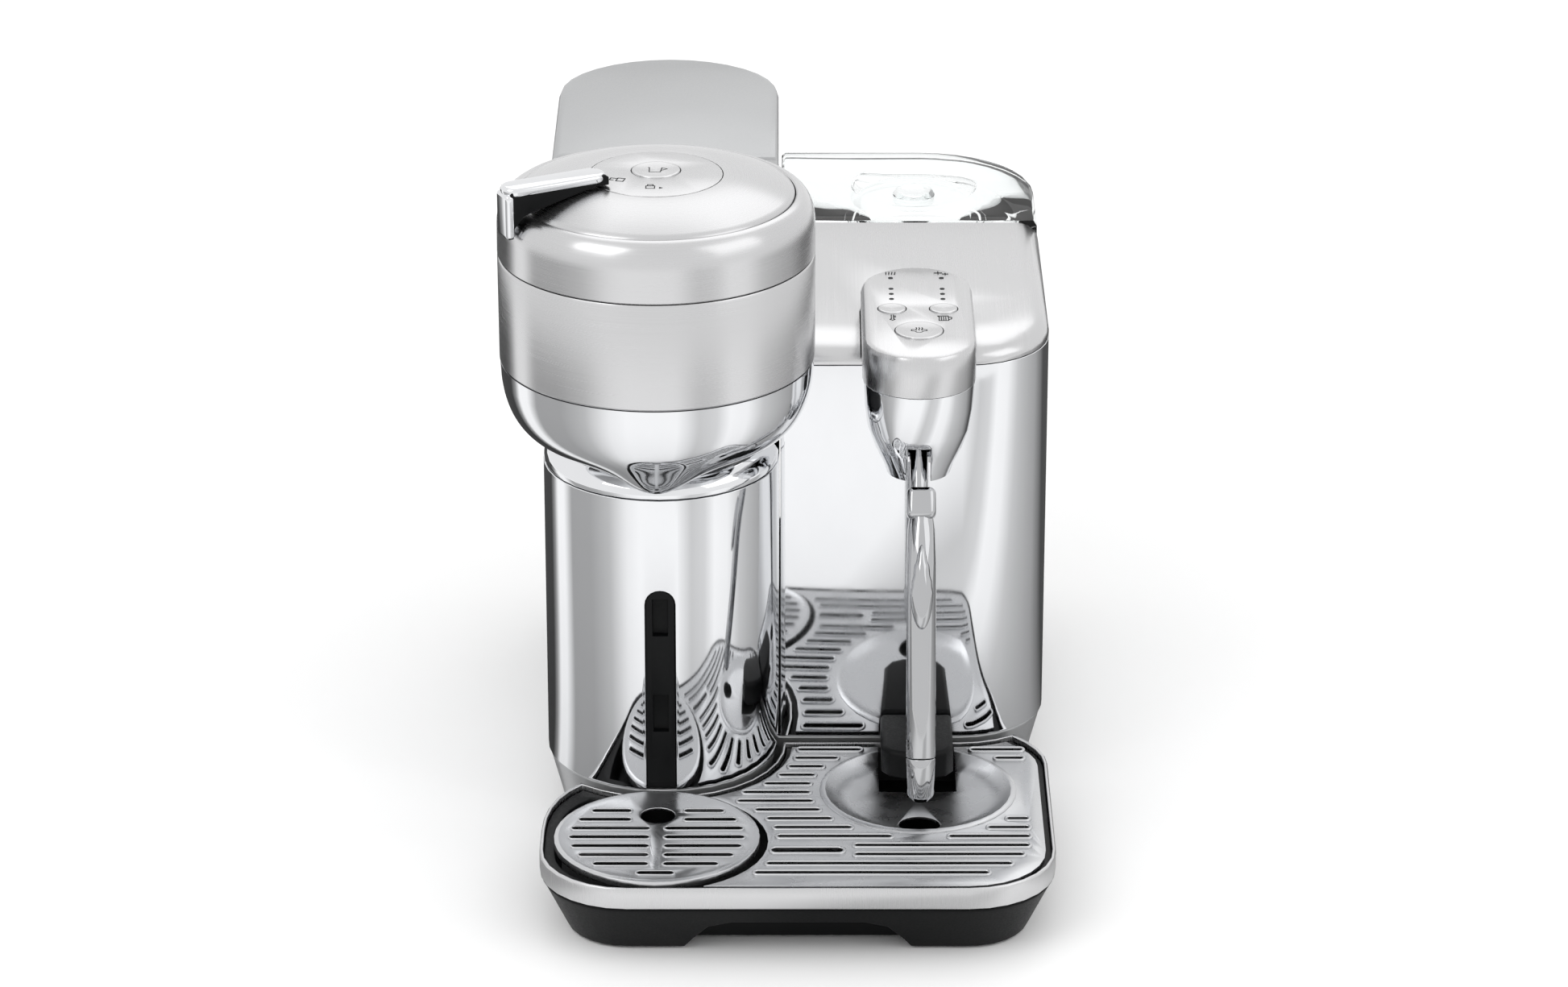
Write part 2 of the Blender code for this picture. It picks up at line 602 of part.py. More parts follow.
def make_capsule_drive(silver, black):
    """The spinning capsule holder and the motor's pulley that drives it."""
    holder = empty("capsule_holder_axis", (*HEAD, 260))
    cup = [(0, 226), (0, 246), (24, 246), (31, 262), (31, 286), (33.5, 286), (33.5, 260), (26, 243),
           (SPINDLE_R, 241), (SPINDLE_R, 226)]
    piece("capsule_holder", turned(bmesh.new(), cup, HEAD, 32), silver, holder)
    centre = (HEAD[0], HEAD[1] + MOTOR_BACK)
    shaft = empty("motor_pulley_axis", (*centre, 236))
    pulley = [(0, 234), (0, 243.6), (2, 243.6), (2, 239.6), (PULLEY_R, 239.6), (PULLEY_R, 234)]
    piece("motor_pulley", turned(bmesh.new(), pulley, centre, 20), black, shaft)


def make_lid(brushed, satin, polished, black):
    """Hinged cap ring with its dome and disc, the needle plate, lever and button."""
    hinge = empty("lid_hinge", LID_HINGE)
    ring = [(61.5, 303), (61.5, CAP_TOP - 0.6), (62.4, CAP_TOP), (65.0, CAP_TOP - 0.7), (67.6, 323.4),
            (69.2, 319.3), (HEAD_R, 313.5), (HEAD_R, 300.2), (HEAD_R - 0.6, 299.6), (58, 299.6),
            (58, 303)]
    piece("lid_ring", turned(bmesh.new(), ring, HEAD, 48), brushed, hinge)
    dome = [(DISC_R + 0.3, 331.0), (DISC_R + 0.3, DISC_TOP - 0.1), (40, 333.3), (51, 330.6),
            (DOME_R - 1.5, 327.4), (DOME_R, CAP_TOP), (DOME_R, 319), (48, 323)]
    piece("lid_dome", turned(bmesh.new(), dome, HEAD, 40), satin, hinge)
    plate = disc(bmesh.new(), HEAD, DISC_R, 331.4, DISC_TOP, 36)
    inner = piece("lid_disc", plate, brushed, hinge)
    button_at = (HEAD[0], HEAD[1] + BUTTON_BACK)
    combine(inner, disc(bmesh.new(), button_at, 11.1, 325, 340, 28))
    needles = [(0, 288), (0, 302.4), (57, 302.4), (57, 299.8), (30, 299.8), (30, 294), (6, 294), (3, 288)]
    piece("piercing_plate", turned(bmesh.new(), needles, HEAD, 28), black, hinge)
    press = empty("brew_button_axis", (*button_at, 333))
    cap = [(0, 326), (0, DISC_TOP + 0.5), (9.4, DISC_TOP + 0.5), (10.7, DISC_TOP - 0.1), (10.7, 326)]
    piece("brew_button", turned(bmesh.new(), cap, button_at, 28), brushed, press)
    press.parent = hinge
    press.location = press.location - hinge.location
    turn = empty("lever_axis", (*HEAD, 330))
    piece("lid_lever", make_lever(), polished, turn)


def make_lever():
    """Lever along one radius, with its outer end dropped over the cap's shoulder."""
    half = 5.5
    section = [(25, 335.2), (31, 335.4), (61, 328.6), (66.0, 327.0), (70.3, 322), (70.7, 317.5),
               (73.2, 317.5), (73.4, 334), (71.5, 338.6), (68, LEVER_TOP), (27, LEVER_TOP), (25, 338.8)]
    turn = radians(LEVER_ANGLE)
    bm = bmesh.new()
    sides = []
    for across in (-half, half):
        loop = [bm.verts.new((HEAD[0] + r * cos(turn) - across * sin(turn),
                              HEAD[1] + r * sin(turn) + across * cos(turn), z)) for r, z in section]
        sides.append(loop)
    bm.faces.new(sides[0])
    bm.faces.new(sides[1][::-1])
    for i in range(len(section)):
        j = (i + 1) % len(section)
        bm.faces.new((sides[0][i], sides[0][j], sides[1][j], sides[1][i]))
    return bm


# ---------------------------------------------------------------- steam side

def make_pod(brushed, polished, black):
    """Pod cap with its three button holes, and the cone neck with the wand's slot."""
    plan = pod_plan()
    inside = inset(plan, 2.6)
    rings = [(inside, POD_TOP - 3), (inside, POD_LOW), (plan, POD_LOW), (plan, POD_TOP - 3.5),
             (inset(plan, 1.2), POD_TOP - 1), (inset(plan, 3.6), POD_TOP)]
    cap = piece("pod_cap", loft(bmesh.new(), rings), brushed)
    holes = bmesh.new()
    for centre, radius in pod_buttons():
        disc(holes, centre, radius + 0.4, 240, 252, 24)
    combine(cap, holes)
    piece("pod_board", disc(bmesh.new(), (POD_X, POD_Y), 21.5, 229, 233, 28), black)
    cone = [(POD_R - 0.5, POD_LOW - GAP), (POD_R - 0.9, 216), (23.2, 206), (19.6, 196), (15.8, 188),
            (NECK_R, NECK_LOW), (10.2, NECK_LOW), (12, 190), (14, 205), (16, POD_LOW - GAP)]
    neck = piece("pod_neck", turned(bmesh.new(), cone, (POD_X, POD_Y), 32), polished)
    combine(neck, box(bmesh.new(), POD_X - 5.2, POD_X + 5.2, POD_Y - 30, POD_Y - 4, 175, 202))


def pod_buttons():
    """Centre and radius of the steam, temperature and froth buttons."""
    return (((POD_X, -73.7), 10.8), ((POD_X - 11.7, -46.2), 6.3), ((POD_X + 11.7, -46.2), 6.3))


def make_pod_buttons(brushed):
    for name, (centre, radius) in zip(("steam_button", "temp_button", "froth_button"), pod_buttons()):
        mover = empty(name + "_axis", (*centre, 245))
        cap = [(0, 241), (0, POD_TOP + 0.5), (radius - 1, POD_TOP + 0.5), (radius, POD_TOP - 0.2),
               (radius, 241)]
        piece(name, turned(bmesh.new(), cap, centre, 24), brushed, mover)


def make_wand(polished):
    """Arm in the cone's slot, bent tube and tip of the steam wand."""
    mover = empty("wand_axis", WAND_PIVOT)
    arm = swept(bmesh.new(), [(-84, 199), (-86, 193), (-93, 182), (-98, 175)], (3.6, 4, 4, 4), POD_X)
    piece("wand_arm", arm, polished, mover)
    route = [(-98.3, 174.6), (-106, 164), (-114, 151), (-119, 138), (-125, 114), (-132, 88), (-138.7, 66.4)]
    tube = swept(bmesh.new(), route, (4.5, 6.2, 6.7, 6.7, 6.7, 6.7, 6.6), POD_X + 1)
    piece("wand_tube", tube, polished, mover)
    end = [(-138.8, 66.05), (-140, 62.2), (-141.3, 49), (-141.6, 46.2)]
    piece("wand_tip", swept(bmesh.new(), end, (6.6, 6.4, 6, 3.5), POD_X + 1), polished, mover)


def make_jug_sensor(black):
    """Jug temperature sensor that stands out from the panel over the dish."""
    outline = [(47, PANEL_Y - 0.5), (47, -92), (50.5, -97.5), (57, -100), (70, -100), (76.5, -97.5),
               (80, -92), (80, PANEL_Y - 0.5)]
    rings = [(outline, 36.6), (outline, 48.5), (inset(outline, 1.4), 50)]
    piece("jug_sensor", loft(bmesh.new(), rings), black)


# ---------------------------------------------------------------- tank and bin

def make_tank(clear, black):
    """Clear water tank, and the lid with its round recess and knob."""
    lift = empty("tank_axis", (62, 155, 46.6))
    plan = inset(tank_plan(), 0.4)
    walls = [(plan, 46.4), (plan, 226), (inset(plan, 2.4), 226), (inset(plan, 2.4), 49)]
    piece("water_tank", loft(bmesh.new(), walls), clear, lift)
    lid_lift = empty("tank_lid_axis", (62, 155, 230))
    lid = loft(bmesh.new(), [(plan, 226.4), (plan, 232.4), (inset(plan, 1.6), HOOD_TOP)])
    cover = piece("tank_lid", lid, clear, lid_lift)
    hollow = [(0, 229), (0, 240), (32, 240), (30.7, 234), (27, 229)]
    combine(cover, turned(bmesh.new(), hollow, TANK_RECESS, 32))
    knob = [(0, 229.4), (0, 234.2), (5, 233.6), (9, 231.8), (10.5, 229.4)]
    piece("tank_knob", turned(bmesh.new(), knob, TANK_RECESS, 20), clear, lid_lift)
    piece("tank_valve", disc(bmesh.new(), (40, 140), 9, 49.3, 54, 16), black, lift)


def make_bin(satin):
    """Used-capsule bin and its cover, open where the capsules drop in."""
    lift = empty("bin_axis", (TOWER_X, 140, 60.4))
    plan = inset(bin_plan(), 0.4)
    inside = inset(plan, 2.4)
    cup = [(plan, 60.4), (plan, BIN_SEAM - 0.2), (inside, BIN_SEAM - 0.2), (inside, 63)]
    piece("capsule_bin", loft(bmesh.new(), cup), satin, lift)
    cover = [(inside, BIN_TOP - 2.6), (inside, BIN_SEAM + 0.2), (plan, BIN_SEAM + 0.2),
             (plan, BIN_TOP - 4), (inset(plan, 1.2), BIN_TOP - 1.1), (inset(plan, 4), BIN_TOP)]
    combine(piece("bin_cover", loft(bmesh.new(), cover), satin, lift), chute(55, 66))


def make_works(black, silver, cast, green):
    """What the body hides: pump, heaters, board, valve and the mains inlet."""
    piece("water_pump", disc(bmesh.new(), (30, 40), 19, 40, 110, 24), black)
    piece("coffee_heater", box(bmesh.new(), 55, 110, 20, 80, 40, 90), cast)
    piece("steam_heater", box(bmesh.new(), 55, 110, 20, 80, 100, 150), cast)
    piece("control_board", box(bmesh.new(), 8, 116, 88, 91, 60, 200), green)
    piece("flow_meter", disc(bmesh.new(), (80, -10), 14, 40, 62, 20), silver)
    piece("mains_inlet", box(bmesh.new(), *INLET_X, 196, 203.5, *INLET_Z), black)


def main():
    clear_scene()
    brushed = finish("brushed_stainless", 0.62, 0.32, 1.0)
    polished = finish("polished_stainless", 0.75, 0.08, 1.0)
    satin = finish("satin_grey", 0.58, 0.4, 0.6)
    silver = finish("silver_plastic", 0.5, 0.4, 0.3)
    black = finish("black_plastic", 0.02, 0.5, 0.0)
    rubber = finish("foot_rubber", 0.03, 0.85, 0.0)
    clear = finish("clear_plastic", (0.85, 0.9, 0.92), 0.05, 0.0)
    cast = finish("cast_heater", (0.5, 0.42, 0.36), 0.5, 0.8)
    green = finish("board_green", (0.03, 0.2, 0.08), 0.6, 0.0)
    red = finish("float_red", (0.55, 0.04, 0.03), 0.45, 0.0)
    tray = empty("tray_axis", (TRAY_MID, -130, 20))
    support = empty("support_axis", (*SUPPORT, 36))
    make_tray_tub(black, tray)
    make_tray_parts(black, brushed, red, tray)
    make_grille(brushed, tray)
    make_support(brushed, support)
    make_base(black, silver, rubber)
    make_column(polished, black, silver)
    make_tower_cover(satin)
    make_body_sheets(polished, brushed, black)
    make_bowl(polished)
    make_head(brushed, black, silver)
    make_capsule_drive(silver, black)
    make_lid(brushed, satin, polished, black)
    make_pod(brushed, polished, black)
    make_pod_buttons(brushed)
    make_wand(polished)
    make_jug_sensor(black)
    make_tank(clear, black)
    make_bin(satin)
    make_works(black, silver, cast, green)


main()
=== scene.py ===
"""Looks of a pod coffee machine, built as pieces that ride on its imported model."""
from math import cos, exp, radians, sin, sqrt

import bpy
from bpy.props import FloatProperty, IntProperty, PointerProperty, StringProperty
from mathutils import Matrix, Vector


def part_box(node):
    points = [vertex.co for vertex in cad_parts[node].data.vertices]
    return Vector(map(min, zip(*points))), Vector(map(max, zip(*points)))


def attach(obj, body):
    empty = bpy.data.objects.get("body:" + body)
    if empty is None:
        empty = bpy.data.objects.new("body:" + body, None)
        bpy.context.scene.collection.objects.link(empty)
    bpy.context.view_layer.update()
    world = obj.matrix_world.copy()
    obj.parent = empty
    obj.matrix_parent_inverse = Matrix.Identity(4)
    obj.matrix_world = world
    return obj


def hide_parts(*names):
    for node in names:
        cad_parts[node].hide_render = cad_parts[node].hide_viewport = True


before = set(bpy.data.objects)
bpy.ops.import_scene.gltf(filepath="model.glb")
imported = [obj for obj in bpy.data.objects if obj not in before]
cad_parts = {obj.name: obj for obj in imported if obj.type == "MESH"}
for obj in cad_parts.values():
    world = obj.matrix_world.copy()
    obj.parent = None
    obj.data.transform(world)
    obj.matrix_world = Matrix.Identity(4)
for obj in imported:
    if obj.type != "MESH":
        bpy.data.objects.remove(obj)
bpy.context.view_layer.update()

bl_info = {
    "name": "Pod Coffee Machine",
    "version": (1, 0, 0),
    "blender": (4, 5, 0),
    "location": "View3D > Sidebar > Coffee",
    "description": "Finishes the pieces of a pod coffee machine with a steam wand",
    "category": "Object",
}

MM = 0.001


def place(node):
    """A node's lowest corner, highest corner and middle, in millimetres."""
    low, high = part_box(node)
    low, high = low / MM, high / MM
    return low, high, (low + high) / 2


RING_LOW, RING_HIGH, HEAD = place("lid_ring")
HEAD_R = (RING_HIGH.x - RING_LOW.x) / 2
DISC_TOP = place("lid_disc")[1].z
POD_TOP = place("pod_cap")[1].z
GRILLE_LOW, GRILLE_HIGH, _ = place("tray_grille")
SUPPORT_LOW, SUPPORT_HIGH, SUPPORT = place("cup_support")
SUPPORT_R = (SUPPORT_HIGH.x - SUPPORT_LOW.x) / 2
TUBE = place("wand_tube")[2]
COLUMN = place("column_shell")[2]


# ---------------------------------------------------------------- sizes and colours

class CoffeeSizes(bpy.types.PropertyGroup):
    """Sizes of the fine work, in millimetres and degrees."""
    edge: FloatProperty(name="Edge", description="Rounding of a pressed edge, mm", default=0.45, min=0.05)
    brush: FloatProperty(name="Brushing", description="Spacing of brush lines, mm", default=0.55, min=0.1)
    ink: FloatProperty(name="Ink", description="Width of a printed line, mm", default=0.5, min=0.1)
    rim: FloatProperty(name="Slot rim", description="Thickness of the rolled rim round a slot, mm",
                       default=0.8)
    slot: FloatProperty(name="Slot", description="Half the width of a grille slot, mm", default=1.7)
    pitch: FloatProperty(name="Slot pitch", description="Distance between slot rows, mm", default=9.05)
    lever: FloatProperty(name="Lever angle", description="Lever's direction from the head's axis, degrees",
                         default=207.0)
    steps: IntProperty(name="Steps", description="Sides of a turned piece", default=128, min=32)


class CoffeeColours(bpy.types.PropertyGroup):
    """Colours of the finishes, as sRGB hex."""
    brushed: StringProperty(name="Brushed", description="Brushed stainless steel", default="CFCFD0")
    polished: StringProperty(name="Polished", description="Polished stainless steel", default="E6E7E9")
    satin: StringProperty(name="Satin", description="Satin silver paint", default="B4B5B6")
    black: StringProperty(name="Black", description="Moulded black plastic", default="0B0C0D")
    clear: StringProperty(name="Clear", description="Clear tank plastic", default="FAFCFC")
    floor: StringProperty(name="Floor", description="Studio floor", default="FFFFFF")


def sizes():
    return bpy.context.scene.coffee_sizes


def colours():
    return bpy.context.scene.coffee_colours


def linear(code):
    """An sRGB hex colour as linear red, green, blue and alpha."""
    parts = [int(code[i:i + 2], 16) / 255 for i in (0, 2, 4)]
    return tuple(c / 12.92 if c <= 0.04045 else ((c + 0.055) / 1.055) ** 2.4 for c in parts) + (1.0,)


# ---------------------------------------------------------------- finishes

def add_node(tree, kind, links=(), **settings):
    """Add a node, set its properties and inputs, and link sockets to its inputs."""
    made = tree.nodes.new(kind)
    for key, value in settings.items():
        if hasattr(made, key):
            setattr(made, key, value)
        else:
            made.inputs[key.replace("_", " ")].default_value = value
    for socket, source in links:
        tree.links.new(source, made.inputs[socket])
    return made


def new_finish(name):
    """A material with its shader and object coordinates, in millimetres."""
    material = bpy.data.materials.new(name)
    material.use_nodes = True
    tree = material.node_tree
    shader = tree.nodes["Principled BSDF"]
    coords = add_node(tree, "ShaderNodeTexCoord")
    scaled = add_node(tree, "ShaderNodeMapping", [("Vector", coords.outputs["Object"])],
                      Scale=(1 / MM, 1 / MM, 1 / MM))
    return material, tree, shader, scaled.outputs["Vector"]


def grain(tree, vector, spacing, detail=3.0):
    """Noise whose features are spaced by x, y and z distances in millimetres."""
    stretch = add_node(tree, "ShaderNodeMapping", [("Vector", vector)],
                       Scale=tuple(1 / value for value in spacing))
    return add_node(tree, "ShaderNodeTexNoise", [("Vector", stretch.outputs["Vector"])],
                    Scale=1.0, Detail=detail).outputs["Fac"]


def spread(tree, source, low, high):
    """Turn a noise value into one between low and high."""
    return add_node(tree, "ShaderNodeMapRange", [("Value", source)], From_Min=0.3, From_Max=0.7,
                    To_Min=low, To_Max=high).outputs["Result"]


def dress(tree, shader, tone, dark, light, source, rough, bump, depth):
    """Link colour variation, roughness and bump to the shader."""
    mix = add_node(tree, "ShaderNodeMix", data_type="RGBA")
    mix.inputs[6].default_value = dark
    mix.inputs[7].default_value = light
    tree.links.new(tone, mix.inputs[0])
    tree.links.new(mix.outputs[2], shader.inputs["Base Color"])
    tree.links.new(rough, shader.inputs["Roughness"])
    height = add_node(tree, "ShaderNodeBump", [("Height", source)], Strength=bump, Distance=depth * MM)
    tree.links.new(height.outputs["Normal"], shader.inputs["Normal"])


def shade(code, factor):
    red, green, blue, alpha = linear(code)
    return (red * factor, green * factor, blue * factor, alpha)


def draw_out(tree, shader):
    """Scratches that run round the piece's upright axis draw highlights out across them."""
    shader.inputs["Anisotropic"].default_value = 0.75
    shader.inputs["Anisotropic Rotation"].default_value = 0.25
    about = add_node(tree, "ShaderNodeTangent", direction_type="RADIAL", axis="Z")
    tree.links.new(about.outputs["Tangent"], shader.inputs["Tangent"])


def brushed_stainless(name, spacing, round_piece=False):
    """Stainless sheet drawn through an abrasive belt: long fine scratches blur its reflections one way.

    The scratches are about 0.1 mm apart; they are drawn coarser so that they show."""
    material, tree, shader, vector = new_finish(name)
    shader.inputs["Metallic"].default_value = 1.0
    lines = grain(tree, vector, spacing, 5.0)
    patches = grain(tree, vector, (38, 38, 38))
    rough = add_node(tree, "ShaderNodeMath", [(0, spread(tree, lines, 0.21, 0.26)),
                     (1, spread(tree, patches, 0.0, 0.04))], operation="ADD").outputs[0]
    dress(tree, shader, lines, shade(colours().brushed, 0.95), linear(colours().brushed), lines,
          rough, 0.03, 0.05)
    if round_piece:
        draw_out(tree, shader)
    return material


def spun_stainless(name, centre):
    """Stainless disc turned against an abrasive pad: rings of fine scratches about its centre."""
    material, tree, shader, vector = new_finish(name)
    shader.inputs["Metallic"].default_value = 1.0
    moved = add_node(tree, "ShaderNodeVectorMath", [(0, vector)], operation="SUBTRACT")
    moved.inputs[1].default_value = (centre[0], centre[1], 0)
    flat = add_node(tree, "ShaderNodeVectorMath", [(0, moved.outputs[0])], operation="MULTIPLY")
    flat.inputs[1].default_value = (1, 1, 0)
    reach = add_node(tree, "ShaderNodeVectorMath", [(0, flat.outputs[0])], operation="LENGTH")
    across = add_node(tree, "ShaderNodeCombineXYZ", [("X", reach.outputs["Value"])])
    rings = grain(tree, across.outputs[0], (0.55, 1, 1), 4.0)
    rough = spread(tree, rings, 0.24, 0.32)
    dress(tree, shader, rings, shade(colours().brushed, 0.9), linear(colours().brushed), rings,
          rough, 0.1, 0.08)
    draw_out(tree, shader)
    return material


def polished_stainless(name, low, high, tone):
    """Polished stainless: a mirror, or rougher where a press or a drawing die left it, slightly wavy; a tone
    below one is painted shade that darkens its colour.
    """
    material, tree, shader, vector = new_finish(name)
    shader.inputs["Metallic"].default_value = 1.0
    waves = grain(tree, vector, (60, 60, 90), 1.0)
    smears = grain(tree, vector, (14, 14, 30))
    # a tone below one is painted shade: the same steel coloured darker, as its reflections would be darker
    dress(tree, shader, smears, shade(colours().polished, 0.95 * tone), shade(colours().polished, tone),
          waves, spread(tree, smears, low, high), 0.05, 0.5)
    return material


def satin_silver():
    """ABS with a satin silver coat: soft reflections over a very fine metallic grain."""
    material, tree, shader, vector = new_finish("satin_silver_coat")
    shader.inputs["Metallic"].default_value = 0.75
    fine = grain(tree, vector, (0.8, 0.8, 0.8))
    patches = grain(tree, vector, (45, 45, 45))
    dress(tree, shader, patches, shade(colours().satin, 0.93), linear(colours().satin), fine,
          spread(tree, fine, 0.33, 0.42), 0.06, 0.05)
    return material


def moulded(name, code, low=0.36, high=0.5, size=0.9, bump=0.12):
    """Moulded plastic or rubber: matt, from the fine spark texture of its mould."""
    material, tree, shader, vector = new_finish(name)
    shader.inputs["Specular IOR Level"].default_value = 0.15
    fine = grain(tree, vector, (size, size, size))
    dress(tree, shader, fine, shade(code, 0.85), linear(code), fine, spread(tree, fine, low, high),
          bump, 0.08)
    return material


def clear_plastic():
    """Clear moulded SAN: thin walls that pass light, with a glossy and faintly wavy surface."""
    material, tree, shader, vector = new_finish("clear_san")
    shader.inputs["Transmission Weight"].default_value = 1.0
    shader.inputs["IOR"].default_value = 1.3
    shader.inputs["Base Color"].default_value = linear(colours().clear)
    waves = grain(tree, vector, (30, 30, 50))
    tree.links.new(spread(tree, waves, 0.01, 0.03), shader.inputs["Roughness"])
    height = add_node(tree, "ShaderNodeBump", [("Height", waves)], Strength=0.01, Distance=0.3 * MM)
    tree.links.new(height.outputs["Normal"], shader.inputs["Normal"])
    return material


def cast_metal(name, code):
    """Die-cast aluminium: grey and dull, from the skin that the mould leaves."""
    material, tree, shader, vector = new_finish(name)
    shader.inputs["Metallic"].default_value = 0.9
    skin = grain(tree, vector, (2.5, 2.5, 2.5))
    dress(tree, shader, skin, shade(code, 0.75), linear(code), skin, spread(tree, skin, 0.45, 0.65), 0.3, 0.2)
    return material


FINISHES = {}


def make_finishes():
    brush = sizes().brush
    FINISHES.update(
        ring=brushed_stainless("brushed_stainless_round", (70, 70, brush), True),
        flat=brushed_stainless("brushed_stainless_flat", (brush, 70, 70)),
        spun=spun_stainless("spun_stainless_lid", (HEAD.x, HEAD.y)),
        polished=polished_stainless("polished_stainless", 0.035, 0.075, 1.0),
        # pressed and drawn are the polished steel darkened by painted shade; the pressed one is also rougher
        pressed=polished_stainless("pressed_stainless_painted_shade", 0.24, 0.32, 0.75),
        drawn=polished_stainless("drawn_stainless_painted_shade", 0.05, 0.09, 0.62), satin=satin_silver(),
        black=moulded("moulded_black_abs", colours().black),
        mark=moulded("pad_printed_ink", "2B2C2E", 0.5, 0.6),
        rubber=moulded("foot_rubber", "1C1C1C", 0.7, 0.85, 1.6, 0.3),
        board=moulded("solder_mask_green", "1E5631"),
        clear=clear_plastic(), cast=cast_metal("die_cast_aluminium", "9B9288"),
        # dark is painted shade: the column's neck under the bowl is coloured near black where shade falls
        zinc=cast_metal("zinc_plated_steel", "A9ABAD"), dark=moulded("painted_shade_neck", "242527", 0.3, 0.4))


# ---------------------------------------------------------------- modelling

def begin():
    """Leave edit mode with nothing selected."""
    if bpy.context.mode != "OBJECT":
        bpy.ops.object.mode_set(mode="OBJECT")
    bpy.ops.object.select_all(action="DESELECT")


def end(name, finish, body, stands_for=(), angle=32):
    """Close the active piece, bring its place into its mesh, and hang it on its body."""
    item = bpy.context.active_object
    if item.mode != "OBJECT":
        bpy.ops.object.mode_set(mode="OBJECT")
    item.name = item.data.name = name
    bpy.ops.object.transform_apply(location=True, rotation=True, scale=True)
    item.data.materials.clear()
    item.data.materials.append(finish)
    bpy.ops.object.shade_smooth_by_angle(angle=radians(angle))
    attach(item, body)
    if stands_for:
        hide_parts(*stands_for)
    return item


def turned(profile, centre, ring=False):
    """Extrude and scale a circle up a profile of radius and height, in millimetres.

    A profile that ends on the axis closes to a point; a ring closes on itself."""
    begin()
    radius, height = profile[0]
    bpy.ops.mesh.primitive_circle_add(vertices=sizes().steps, radius=radius * MM, fill_type="NOTHING",
                                      location=(centre[0] * MM, centre[1] * MM, height * MM))
    bpy.ops.object.mode_set(mode="EDIT")
    bpy.ops.mesh.select_mode(type="EDGE")
    bpy.ops.mesh.select_all(action="SELECT")
    if not ring:
        bpy.ops.mesh.edge_face_add()
        bpy.ops.mesh.inset(thickness=0, use_boundary=True)
        bpy.ops.mesh.select_all(action="DESELECT")
        bpy.ops.mesh.select_non_manifold(extend=False)
    for (r0, z0), (r1, z1) in zip(profile, profile[1:] + profile[:1] * ring):
        bpy.ops.mesh.extrude_region_move(TRANSFORM_OT_translate={"value": (0, 0, (z1 - z0) * MM)})
        scale = max(r1, 0.001) / r0
        middle = (centre[0] * MM, centre[1] * MM, z1 * MM)
        bpy.ops.transform.resize(value=(scale, scale, 1), center_override=middle)
    if not ring:
        bpy.ops.mesh.edge_face_add()
    bpy.ops.mesh.select_all(action="SELECT")
    bpy.ops.mesh.remove_doubles(threshold=0.000001)
    bpy.ops.mesh.normals_make_consistent(inside=False)


def apply_modifier(kind, **settings):
    """Add a modifier to the active piece and apply it."""
    bpy.ops.object.mode_set(mode="OBJECT")
    item = bpy.context.active_object
    modifier = item.modifiers.new(kind.title(), kind)
    for key, value in settings.items():
        setattr(modifier, key, value)
    bpy.ops.object.modifier_apply(modifier=modifier.name)


def refined(node, edge=None, segments=3):
    """A merged copy of a CAD node whose sharp edges are rounded as a press or mould leaves them."""
    begin()
    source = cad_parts[node]
    copy = bpy.data.objects.new(node + "_fine", source.data.copy())
    bpy.context.collection.objects.link(copy)
    copy.select_set(True)
    bpy.context.view_layer.objects.active = copy
    bpy.ops.object.mode_set(mode="EDIT")
    bpy.ops.mesh.select_all(action="SELECT")
    bpy.ops.mesh.remove_doubles(threshold=0.000005)
    bpy.ops.mesh.dissolve_limited(angle_limit=radians(1))
    bpy.ops.object.mode_set(mode="OBJECT")
    width = sizes().edge if edge is None else edge
    if width:
        apply_modifier("BEVEL", width=width * MM, segments=segments, limit_method="ANGLE",
                       angle_limit=radians(35), harden_normals=False)


def choose(test):
    """Select the active piece's vertices whose place, in millimetres, passes a test."""
    item = bpy.context.active_object
    bpy.ops.object.mode_set(mode="EDIT")
    bpy.ops.mesh.select_mode(type="VERT")
    bpy.ops.mesh.select_all(action="DESELECT")
    bpy.ops.object.mode_set(mode="OBJECT")
    bpy.context.view_layer.update()
    for vertex in item.data.vertices:
        vertex.select = test((item.matrix_world @ vertex.co) / MM)
    bpy.ops.object.mode_set(mode="EDIT")


def stretch(first, last):
    """Draw the active round shape out from one point to another, which leaves its ends round."""
    first, last = Vector((*first, 0)), Vector((*last, 0))
    along = (last - first).normalized()
    choose(lambda spot: (spot - first).dot(along) > -0.001)
    bpy.ops.transform.translate(value=(last - first) * MM)
    bpy.ops.object.mode_set(mode="OBJECT")
    return bpy.context.active_object


def bar(first, last, width, low, high):
    """A flat bar with round ends."""
    begin()
    bpy.ops.mesh.primitive_cylinder_add(vertices=24, radius=width / 2 * MM, depth=(high - low) * MM,
                                        location=(first[0] * MM, first[1] * MM, (low + high) / 2 * MM))
    return stretch(first, last)


def rim(first, last, radius, tube, height):
    """A rolled rim round a slot with round ends."""
    begin()
    bpy.ops.mesh.primitive_torus_add(major_segments=24, minor_segments=10, major_radius=radius * MM,
                                     minor_radius=tube * MM,
                                     location=(first[0] * MM, first[1] * MM, height * MM))
    return stretch(first, last)


def join(items):
    """Join pieces into the first one."""
    begin()
    for item in items:
        item.select_set(True)
    bpy.context.view_layer.objects.active = items[0]
    bpy.ops.object.join()


def line(points, spot, height, turn=0.0):
    """Printed strokes through points about a spot, turned about it."""
    cosine, sine = cos(radians(turn)), sin(radians(turn))
    placed = [(spot[0] + x * cosine - y * sine, spot[1] + x * sine + y * cosine) for x, y in points]
    width = sizes().ink
    return [bar(a, b, width, height - 0.1, height + 0.08) for a, b in zip(placed, placed[1:])]


def dot(spot, radius, height, sides=24, turn=0.0):
    """A printed or moulded round mark; three sides make an arrow head."""
    begin()
    bpy.ops.mesh.primitive_cylinder_add(vertices=sides, radius=radius * MM, depth=0.2 * MM,
                                        location=(spot[0] * MM, spot[1] * MM, height * MM),
                                        rotation=(0, 0, radians(turn)))
    return bpy.context.active_object


